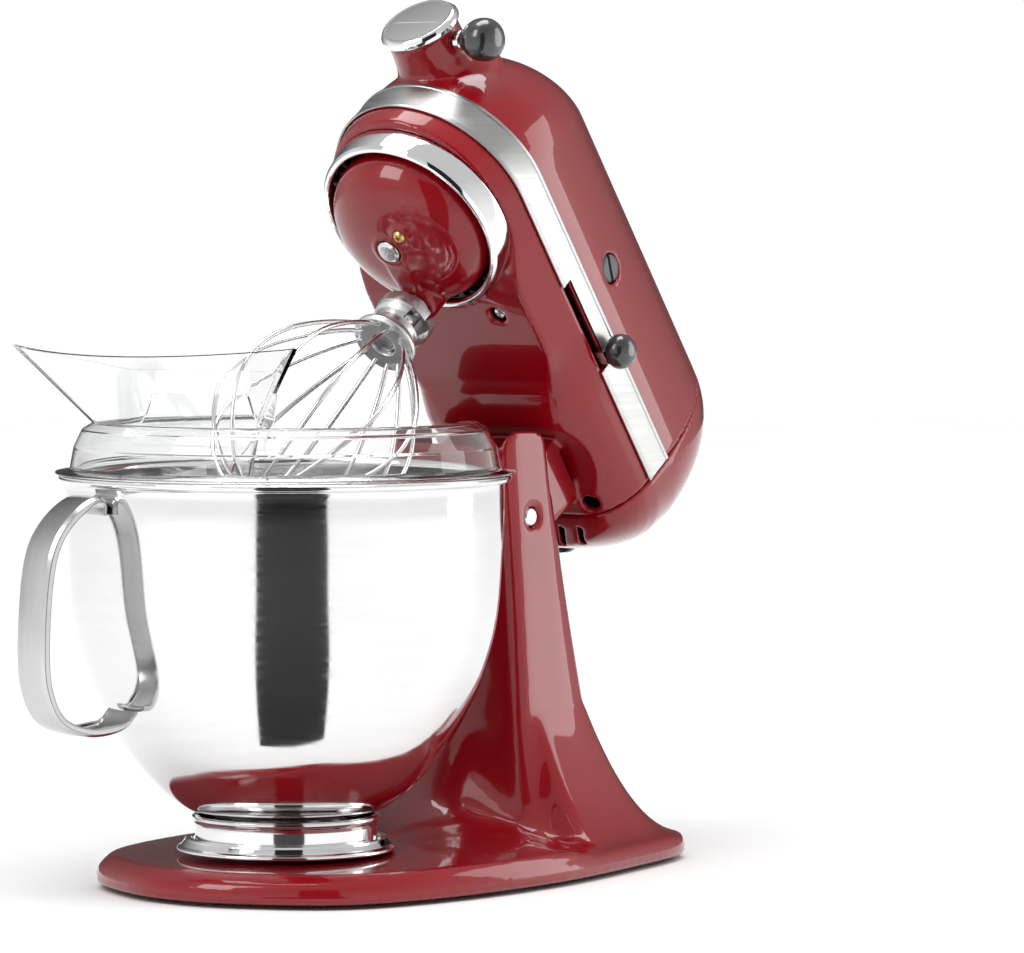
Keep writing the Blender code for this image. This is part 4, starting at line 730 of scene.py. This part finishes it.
def upper_housing():
    housing = head_solid("upper_housing_casting")
    region = block((-150, END_SEAM_X - GAP / 2), (-80, 80), (PARTING_Z + GAP, 400))
    shaped(housing, tools_on_head(region), "INTERSECT")
    barrel = [(0, -74.5), (17.6, -74.5), (18.6, -73.6), (18.7, -66), (19.4, -59), (21.5, -52), (25.5, -46),
              (31, -41.5), (31, -20), (0, -20)]
    shaped(housing, tools_on_head(lathe(barrel, 96, (0, 0, HUB_Z), "x")), "UNION")
    cap_bore = [lathe([(0, 30 * k), (7.9, 30 * k), (7.9, 70 * k), (0, 70 * k)], 48, (74.9, 0, MOTOR_Z), "y")
                for k in (-1, 1)]
    shaped(housing, [head_solid("cavity", HEAD_WALL)] + tools_on_head(
        lathe([(0, -80), (13.2, -80), (13.2, 0), (0, 0)], 48, (0, 0, HUB_Z), "x"), *cap_bore,
        lathe([(0, -40), (3.1, -40), (3.1, -5), (0, -5)], 32, (-67.0, 0, HUB_Z), "y")))
    show(cast(housing, 1.1, 7), "head", ENAMEL, "enamel", "upper_housing")


def gearcase():
    case = head_solid("gearcase_casting")
    region = block((-150, END_SEAM_X - GAP / 2), (-80, 80), (150, PARTING_Z))
    shaped(case, tools_on_head(region), "INTERSECT")
    shaped(case, [head_solid("cavity", HEAD_WALL)])
    arch = solid("arch", across_pin(HINGE_SWEEP_RADIUS + 3.4, 47), ON_HEAD)
    shaped(arch, [head_solid("arch_limit", 0.6)], "INTERSECT")
    web = lathe([(0, 250.0), (54.0, 250.0), (54.0, 253.4), (0, 253.4)], 96)
    shaped(case, tools_on_head(web) + [arch], "UNION")
    well = lathe([(0, 200), (50.2, 200), (50.2, 237.6), (WELL_RADIUS, 238.6), (WELL_RADIUS, 250.0),
                  (0, 250.0)], 96)
    shaped(case, tools_on_head(well, prism(circle(10.3), 240, 260), across_pin(HINGE_SWEEP_RADIUS, 70)))
    lug = [(PIN.x + 15.5 * math.cos(math.radians(a)), PIN.z + 15.5 * math.sin(math.radians(a)))
           for a in range(180, 361, 10)] + [(PIN.x + 19, PIN.z + 20), (PIN.x + 22, PIN.z + 43),
                                            (PIN.x - 16.4, PIN.z + 44.5), (PIN.x - 15.5, PIN.z + 20)]
    shaped(case, tools_on_head(side_prism(lug, -TONGUE_HALF_WIDTH, TONGUE_HALF_WIDTH)), "UNION")
    bores = [lathe([(0, z - 12), (4.6, z - 12), (4.6, z + 1.2), (2.3, z + 1.2), (2.3, z + 30), (0, z + 30)],
                   32, (x, y, 0)) for x, y, z in GEARCASE_SCREWS]
    shaped(case, tools_on_head(across_pin(5.2, 60, 48), *bores,
                               *[block(x, y, (249.6, 254.4)) for x, y in LEVER_SLOTS]))
    show(cast(case, 1.1, 7), "head", ENAMEL, "enamel", "gearcase")


def rear_cover():
    cover = head_solid("rear_cover_casting")
    shaped(cover, tools_on_head(block((END_SEAM_X + GAP / 2, 300), (-80, 80), (150, 400))), "INTERSECT")
    vents = [prism([(188, y - 3.6), (201, y + 0.4), (201, y + 3.6), (188, y - 0.4)], 205, 232)
             for y in (-24, -12, 0, 12, 24)]
    shaped(cover, [head_solid("cavity", HEAD_WALL)] + tools_on_head(
        *vents, lathe([(0, 190), (2.4, 190), (2.4, 240), (0, 240)], 24, (0, 0, 312), "x"),
        lathe([(0, 190), (6.3, 190), (6.3, 240), (0, 240)], 32, (0, 22, 252), "x")))
    show(cast(cover, 1.0, 6), "head", ENAMEL, "enamel", "rear_end_cover")


def cross_head_screw(name, radius, height, shank, length, place, node, body="head", material=None, slot="steel",
                     centre=(0, 0, 0), axis="z", side=-1):
    """A domed screw with a cross recess. The head's outer face is at 'height', facing 'side' along the axis."""
    profile = [(0, 0), (radius * 0.7, 0.25), (radius, 1.5), (radius, 3.4), (shank, 3.4), (shank, length),
               (0, length)]
    profile = [(r, height - side * s) for r, s in rounded(profile, 0.5)]
    screw = solid(name, lathe(profile, 48, centre, axis), place)
    recess = []
    for k in range(2):
        wide, narrow = radius * 0.55, 0.45
        a, b = (wide, narrow) if k == 0 else (narrow, wide)
        deep = sorted((height - side * 1.5, height + side * 1.0))
        spans = {"z": ((centre[0] - a, centre[0] + a), (centre[1] - b, centre[1] + b), deep),
                 "x": (deep, (centre[1] - a, centre[1] + a), (centre[2] - b, centre[2] + b))}[axis]
        recess.append(solid(f"recess_{k}", block(*spans), place))
    return show(shaped(screw, recess), body, material or SATIN, slot, node)


def band_path(outset):
    points = [(x, -HEAD_HALF_WIDTH - outset) for x in (END_SEAM_X - 1.0, 120, 60)]
    for k in range(97):
        angle = -math.pi / 2 - math.pi * k / 96
        points.append(((HEAD_HALF_WIDTH + 0.5 + outset) * math.cos(angle),
                       (HEAD_HALF_WIDTH + outset) * math.sin(angle)))
    return points + [(x, HEAD_HALF_WIDTH + outset) for x in (60, 120, END_SEAM_X - 1.0)]


def head_trim():
    low, high = BAND_Z
    section = rounded([(0.35, low + 0.1), (1.45, low), (1.5, low + 2.0), (1.15, low + 2.5), (1.15, high - 2.5),
                       (1.5, high - 2.0), (1.45, high), (0.35, high - 0.1)], 0.4, 3)
    paths = [band_path(outset) for outset, z in section]
    rings = [[(*paths[i][k], section[i][1]) for i in range(len(section))] for k in range(len(paths[0]))]
    band = solid("trim_band_pressed", loft(rings), ON_HEAD, 25)
    shaped(band, tools_on_head(*[block(x, y, (240, 254.4)) for x, y in LEVER_SLOTS]), sharp=25)
    show(band, "head", BRUSHED, "steel", "trim_band")

    lip = [(51.6, 235.9), (51.3, 230.0), (50.4, 223.6), (49.2, 221.7), (47.9, 221.2), (46.7, 222.0),
           (46.2, 223.8), (46.5, 226.4), (48.9, 227.8), (49.4, 235.9)]
    show(solid("drip_ring_spun", lathe(rounded(lip, 1.0), 192), ON_HEAD, 50), "head", CHROME, "chrome",
         "drip_ring")
    for k, (x, y, z) in enumerate(GEARCASE_SCREWS):
        cross_head_screw(f"case_screw_{k + 1}", 4.1, z - 3.0, 2.0, 16, ON_HEAD, f"gearcase_screw_{k + 1}",
                         centre=(x, y, 0))
    cross_head_screw("rear_cover_screw", 4.4, 226.5, 2.1, 17, ON_HEAD, "cover_screw", centre=(0, 0, 312),
                     axis="x", side=1)
    gland = [(0, 232.8), (3.9, 232.8), (4.2, 232.2), (4.9, 231.2), (5.2, 230.6), (6.3, 229.9), (8.8, 229.0),
             (8.8, 227.4), (6.0, 227.4), (6.0, 214), (0, 214)]
    show(solid("cord_gland_moulded", lathe(rounded(gland, 0.5), 64, (0, 22, 252), "x"), ON_HEAD),
         "head", BLACK, "black", "cord_gland")
    for side, name in ((-1, "near"), (1, "far")):
        profile = [(0, 53.2), (5.6, 53.4), (6.9, 53.1), (7.5, 52.2), (7.5, 46.5), (0, 46.5)]
        cap = solid(f"brush_cap_{name}_moulded", lathe([(r, side * s) for r, s in rounded(profile, 0.4)], 64,
                                                       (74.9, 0, MOTOR_Z), "y"), ON_HEAD)
        slot = block((66, 84), sorted((side * 51.6, side * 60)), (MOTOR_Z - 1.0, MOTOR_Z + 1.0))
        turn = Matrix.Translation((74.9, 0, MOTOR_Z)) @ Matrix.Rotation(0.35, 4, "Y") @ Matrix.Translation(
            (-74.9, 0, -MOTOR_Z))
        show(shaped(cap, [solid("slot", slot, ON_HEAD @ turn)]), "head", CAP, "brushcap", f"brush_cap_{name}")


# ---------------------------------------------------------------- planetary drive and whisk

BEATER_PIN_ANGLE = math.radians(-118.0)
WHISK_TURN = math.radians(35.0)
WHISK_TOP, WHISK_LOW, WHISK_LENGTH, WHISK_WIRE = 197.0, 171.0, 128.0, 1.15
WHISK_PROFILE = [(13.4, 0), (22.5, 9), (34, 24), (44.5, 42), (50, 60), (50, 76), (44, 92), (33, 107),
                 (18, 119.5)]


def ring_gear():
    """Internal teeth. The ring is a little thinner than its solid, so the nose keeps a whole wall around it."""
    step = 2 * math.pi / RING_TEETH
    teeth = [(r * math.cos((k + share) * step), r * math.sin((k + share) * step)) for k in range(RING_TEETH)
             for share, r in ((0.22, 50.6), (0.348, 46.5), (0.652, 46.5), (0.78, 50.6))]
    ring = solid("ring_gear_toothed", prism(circle(WELL_RADIUS - 0.1, 128), 238.9, 246.0), ON_HEAD)
    shaped(ring, tools_on_head(prism(teeth, 230, 249)))
    show(ring, "head", IRON, "iron", "ring_gear")


def planetary_pieces():
    bore = SHAFT_RADIUS + GAP
    dome = smooth_line([(bore, 203.2, 0), (12, 203.4, 0), (22, 205.0, 0), (31, 208.4, 0), (38, 213.4, 0),
                        (42.3, 219.6, 0), (43.6, 226.0, 0), (43.6, 232.5, 0)], 8)
    dome = [(p.x, p.y) for p in dome] + [(40.6, 232.5), (39.6, 222.5), (28, 212.0), (bore, 212.0)]
    hub = solid("planetary_hub_casting", lathe(dome, 120), ON_HEAD)
    boss = lathe([(0, 203.0), (9.0, 203.0), (10.4, 204.2), (10.9, 207), (10.9, 231), (0, 231)], 64,
                 (BEATER_X, 0, 0))
    rib = side_prism([(0, 210), (0, 202.7), (10, 202.6), (30, 204.4), (38, 208), (38, 214)], -6.2, 6.2)
    collar = lathe([(0, 202.2), (9.0, 202.2), (11.0, 204), (11.0, 212), (0, 212)], 64)
    screw_place = (-9.3, -10.9)
    seat = lathe([(0, 202.6), (5.2, 202.6), (6.2, 204), (6.2, 212), (0, 212)], 32, (*screw_place, 0))
    shaped(hub, tools_on_head(boss, rib, collar, seat), "UNION")
    shaped(hub, tools_on_head(prism(circle(bore, 48, (BEATER_X, 0)), 195, 240), prism(circle(bore), 195, 240),
                              prism(circle(2.4, 32, screw_place), 195, 218)))
    show(cast(hub, 0.7, 14), "planetary", ENAMEL, "enamel", "planetary_hub")

    shaft = [(0, 200.7), (4.6, 200.7), (6.2, 202.0), (6.2, 284.5), (0, 284.5)]
    show(solid("planetary_shaft_turned", lathe(rounded(shaft, 0.5), 64), ON_HEAD),
         "planetary", SATIN, "steel", "planetary_shaft")
    cross_head_screw("hub_screw_brass", 3.2, 200.9, 1.9, 10, ON_HEAD, "hub_screw", "planetary", BRASS, "brass",
                     (*screw_place, 0))

    place = (BEATER_X, 0, 0)
    c, s = math.cos(BEATER_PIN_ANGLE), math.sin(BEATER_PIN_ANGLE)
    shaft = [(0, 173.0), (5.0, 173.0), (6.3, 174.6), (6.3, 247.0), (0, 247.0)]
    show(solid("beater_shaft_turned", lathe(rounded(shaft, 0.5), 64, place), ON_HEAD),
         "beater_shaft", SATIN, "steel", "beater_shaft")
    ends = [(BEATER_X + k * c, k * s, 186.5) for k in (-11.4, -10.9, -10.7, 10.7, 10.9, 11.4)]
    rings = [[(x + r * (-s) * math.cos(FULL * i / 32), y + r * c * math.cos(FULL * i / 32),
               z + r * math.sin(FULL * i / 32)) for i in range(32)]
             for (x, y, z), r in zip(ends, (1.7, 2.3, 2.5, 2.5, 2.3, 1.7))]
    show(solid("beater_pin_ground", loft(rings), ON_HEAD), "beater_shaft", SATIN, "steel", "beater_pin")
    turns, low, high = 3.5, 197.9, 202.2
    coil = [turned("z", 8.6, FULL * turns * k / 140, low + (high - low) * k / 140, place) for k in range(141)]
    show(solid("beater_spring_coil", tube(coil, 0.75), ON_HEAD), "beater_shaft", SATIN, "steel",
         "beater_spring")

    profile = [(bore, WHISK_TOP), (14.2, WHISK_TOP), (15.4, WHISK_TOP - 1.2), (15.4, 189.5), (14.6, 187.3),
               (12.9, 185.6), (12.3, 182.5), (12.4, 179.5), (13.6, 177.0), (16.8, 175.0), (17.4, 173.6),
               (17.3, 172.2), (16.2, WHISK_LOW), (bore, WHISK_LOW)]
    hub = solid("whisk_hub_cast", lathe(rounded(profile, 0.8), 96, place), ON_HEAD)
    slots = []
    for turn, end in ((0.0, 189.7), (WHISK_TURN, 205.0)):
        c, s = math.cos(BEATER_PIN_ANGLE + turn), math.sin(BEATER_PIN_ANGLE + turn)
        slots.append(prism([(BEATER_X + a * 20 * c - b * 3.1 * s, a * 20 * s + b * 3.1 * c)
                            for a, b in ((-1, -1), (1, -1), (1, 1), (-1, 1))], 183.4, end))
    for side in (0, 180):
        start = math.degrees(BEATER_PIN_ANGLE) + side
        slots.append(lathe([(5, 183.4), (20, 183.4), (20, 189.7), (5, 189.7)], 12, place,
                           arc=(start, start + math.degrees(WHISK_TURN))))
    shaped(hub, tools_on_head(*slots))
    show(hub, "whisk", DIECAST, "cast", "whisk_hub")
    loops = []
    for k in range(6):
        angle = math.pi * (k + 0.5) / 6
        across = (math.cos(angle), math.sin(angle))
        half = WHISK_PROFILE + [(0, WHISK_LENGTH - WHISK_WIRE - 0.5 * k)]
        both = [(13.0, -1.5)] + half + [(-r, d) for r, d in reversed(half[:-1])] + [(-13.0, -1.5)]
        knots = [(BEATER_X + r * across[0], r * across[1], WHISK_LOW - 0.4 - d) for r, d in both]
        loops.append(tube(evenly(smooth_line(knots, 12), 110), WHISK_WIRE))
    show(solid("whisk_wire_loops", loops, ON_HEAD, 60), "whisk", WIRE, "steel", "whisk_wires")


# ---------------------------------------------------------------- controls and hub

def control_pieces():
    for name, x, side, slide in (("speed", 104.0, 1, "speed_lever"), ("lock", 114.5, -1, "lock_lever")):
        y = -side * 61.0
        stem = rounded([(x - 4.2, 250.6), (x + 3.4, 250.6), (x + 3.4, 253.0), (x - 4.2, 253.0)], 0.7)
        show(solid(f"{name}_lever_stem", side_prism(stem, -side * 44.0, -side * 60.3), ON_HEAD),
             slide, SATIN, "steel", f"{name}_lever")
        profile = soft([(0, 9.6), (3.6, 9.3), (6.4, 7.9), (8.3, 5.4), (9.0, 2.2), (8.4, -0.6), (6.8, -2.2),
                        (5.0, -2.6)])
        knob = lathe([(r, -side * s) for r, s in profile + [(0, -2.6)]], 72, (x, y - side * 2.2, 257.5), "y")
        show(solid(f"{name}_knob_moulded", knob, ON_HEAD, 50), slide, BLACK, "black", f"{name}_knob")
    profile = soft([(0, -46.0), (4.6, -45.5), (8.2, -43.6), (10.4, -40.4), (11.0, -37.0), (10.6, -33.2),
                    (9.0, -29.6), (7.2, -27.4), (5.8, -26.2), (5.4, -24.6)])
    knob = lathe(profile + [(0, -24.6)], 96, (-67.0, 0, HUB_Z), "y")
    show(solid("attachment_knob_moulded", knob, ON_HEAD, 50), "attachment_knob", BLACK, "black",
         "attachment_knob")
    screw = [(0, -24.3), (4.4, -24.3), (5.2, -23.4), (5.2, -20.2), (4.2, -19.4), (2.8, -19.2), (2.8, -13.6),
             (0, -13.6)]
    show(solid("attachment_screw_turned", lathe(rounded(screw, 0.4), 64, (-67.0, 0, HUB_Z), "y"), ON_HEAD),
         "attachment_knob", CHROME, "chrome", "attachment_screw")
    profile = [(0, -79.9), (12, -79.8), (17.2, -79.4), (18.6, -79.5), (19.6, -78.8), (20.6, -77.2),
               (20.8, -75.6), (20.5, -74.9), (0, -74.9)]
    cover = solid("hub_cover_pressed", lathe(rounded(profile, 0.7), 128, (0, 0, HUB_Z), "x"), ON_HEAD)
    knuckle = block((-79.0, -73.0), (-6, 6), (HUB_Z + 19.6, HUB_Z + 22.8))
    shaped(cover, tools_on_head(knuckle), "UNION")
    crease = side_prism([(-80.4, HUB_Z - 2.6), (-80.4, HUB_Z - 1.4), (-79.5, HUB_Z - 2.0)], -17, 17)
    shaped(cover, tools_on_head(crease), sharp=25)
    show(cover, "hub_cover", CHROME, "chrome", "hub_cover")


# ---------------------------------------------------------------- bowl, shield and chute

def bowl_pieces():
    outer = [(107.3, 197), (107.2, 183.5), (106.3, 165), (105, 142.7), (103.2, 129), (100.3, 116.5),
             (95.4, 101.5), (88.2, 86), (80.0, 71.6), (72.6, 61.8), (64.2, 52.6), (56.0, 45.2), (47.4, 39.6),
             (40, 37.5)]
    wall = 1.1
    curve = [(p.x, p.y) for p in smooth_line([(r, z, 0) for r, z in outer], 6)]
    lip = [(107.4, 199.2), (108.0, 200.1), (109.4, 200.3), (110.5, 200.9), (111.0, 202.0), (110.7, 203.2),
           (109.8, 203.9), (108.4, 203.9), (107.0, 203.2), (106.3, 202.0), (106.1, 200.0)]
    inner = [(r - wall * 0.95, z + (0 if z > 90 else wall * (90 - z) / 52)) for r, z in reversed(curve)]
    inner = list(reversed(inner))
    profile = [(0, 37.4)] + list(reversed(curve)) + lip + inner + [(0, 38.7)]
    show(solid("bowl_spun", lathe(profile, 224), ON_STAND, 50), "bowl", MIRROR, "steel", "bowl")
    foot = [(43.4, 37.1), (45.2, 37.1), (46.3, 36.4), (46.5, 35.2), (46.1, 34.0), (45.1, 33.2), (44.8, 31.5),
            (44.8, 23.4), (45.2, 22.2), (45.0, 21.3), (43.4, 21.3)]
    band = solid("bowl_foot_ring", lathe(rounded(foot, 0.4), 160), ON_STAND, 50)
    lugs = [solid(f"lug_{k}", lathe([(44.0, 21.6), (48.0, 21.6), (48.0, 23.6), (44.0, 23.6)], 10,
                                    arc=(83 + 180 * k, 97 + 180 * k)), ON_STAND) for k in range(2)]
    show(shaped(band, lugs, "UNION", 50), "bowl", MIRROR, "steel", "bowl_foot")

    turn = math.radians(HANDLE_ANGLE)
    c, s = math.cos(turn), math.sin(turn)
    route = evenly(smooth_line([(110.4, 187.5, 0), (110.9, 193.6, 0), (118, 193.5, 0), (129, 185.5, 0),
                                (137.5, 173, 0), (141.8, 154, 0), (143.6, 124, 0), (141.8, 104, 0),
                                (134, 89.5, 0), (118, 83.5, 0), (101, 85.5, 0), (93.2, 92.5, 0)], 12), 120)
    section = rounded([(-13, -2.4), (-13, 0.6), (-10.5, 1.9), (0, 2.3), (10.5, 1.9), (13, 0.6), (13, -2.4),
                       (11.2, -2.4), (10.6, -0.4), (0, 0.2), (-10.6, -0.4), (-11.2, -2.4)], 0.8, 3)
    rings = []
    for k, point in enumerate(route):
        ahead = (route[min(k + 1, len(route) - 1)] - route[max(k - 1, 0)]).normalized()
        across = Vector((-ahead.y, ahead.x, 0))
        flat = 1 - smooth_step(k, 4, 14) * (1 - smooth_step(k, 108, 116))
        ring = []
        for w, t in section:
            p = point + across * (t if t > 0 else t * (1 - 0.75 * flat))
            ring.append((p.x * c - w * s, p.x * s + w * c, p.y))
        rings.append(ring)
    show(solid("bowl_handle_pressed", loft(rings), ON_STAND, 45), "bowl", SATIN_HANDLE, "steel", "bowl_handle")


def shield_pieces():
    top = 229.5
    profile = [(112.6, RIM_Z + GAP), (112.8, 205.6), (105.6, 206.8), (103.6, 217.6), (99.4, 226.4),
               (94.0, top), (85.4, top), (84.4, 227.4), (93.0, 227.2), (97.4, 224.4), (101.2, 216),
               (103.0, RIM_Z + GAP)]
    shield = lathe(rounded(profile, 2.0), 160, arc=(SHIELD_GAP, 360 - SHIELD_GAP))
    show(solid("pouring_shield_moulded", shield, ON_STAND, 40), "pouring_shield", CLEAR, "clear",
         "pouring_shield")

    turn = math.radians(CHUTE_ANGLE)
    c, s = math.cos(turn), math.sin(turn)
    wall = 2.0

    def outline(level, inset):
        """The hopper at a level from 0, its foot, to 1, its rim: along the outer wall and back on the inner."""
        half_inner, half_outer = 40 + 2 * level, 46 + 32.5 * level
        u_inner, u_outer, bulge = 80 - 3 * level, 111 + 39 * level, 8 + 18 * level
        places = [-1 + k / 24 for k in range(49)]
        plan = [(u_outer - bulge * t * t, half_outer * t, 1.0 - t * t) for t in places]
        plan += [(u_inner, half_inner * t, -1) for t in (1 - k / 12 for k in range(25))]
        ring = []
        for k, (u, v, mark) in enumerate(plan):
            before, after = Vector(plan[k - 1][:2]), Vector(plan[(k + 1) % len(plan)][:2])
            here = Vector((u, v))
            a, b = (here - before).normalized(), (after - here).normalized()
            normal = Vector((-a.y - b.y, a.x + b.x)).normalized()
            moved = here + normal * inset / max(0.4, normal.dot(Vector((-a.y, a.x))))
            rim = 257.0 if mark < 0 else 269.0 - 4.0 * mark
            foot = 231.0
            if mark < 0 and abs(v) < 31:
                foot = 231 + 15.0 * (1 - smooth_step(abs(v), 24, 31) ** 2) ** 0.5
            z = foot + (rim - foot) * level
            ring.append((moved.x * c - moved.y * s, moved.x * s + moved.y * c, z))
        return ring

    levels = [k / 12 for k in range(13)]
    rings = [outline(level, 0) for level in levels] + [outline(level, wall) for level in reversed(levels)]
    show(solid("pouring_chute_moulded", loft(rings, close=True), ON_STAND, 35), "pouring_chute", CLEAR,
         "clear", "pouring_chute")


# ---------------------------------------------------------------- pieces kept from the CAD model

def inner_pieces():
    """The drive inside the head keeps its CAD shapes and gets its materials."""
    looks = {"height_stop_screw": SATIN, "shaft_bushing": BRASS, "motor_stator": IRON, "front_bearing": BRASS,
             "rear_bearing": BRASS, "carbon_brush_near": CARBON, "carbon_brush_far": CARBON,
             "control_board": BOARD, "armature_shaft": SATIN, "armature_core": IRON, "commutator": COPPER,
             "cooling_fan": DIECAST, "worm_gear": BRASS, "drive_pinion": SATIN, "centre_gear": IRON,
             "beater_pinion": IRON, "hub_drive": SATIN}
    for name, material in looks.items():
        node = frame["nodes"][name]
        node.data.materials.clear()
        node.data.materials.append(material)


camera_and_light()
stand_pieces()
upper_housing()
gearcase()
rear_cover()
head_trim()
ring_gear()
planetary_pieces()
control_pieces()
bowl_pieces()
shield_pieces()
inner_pieces()
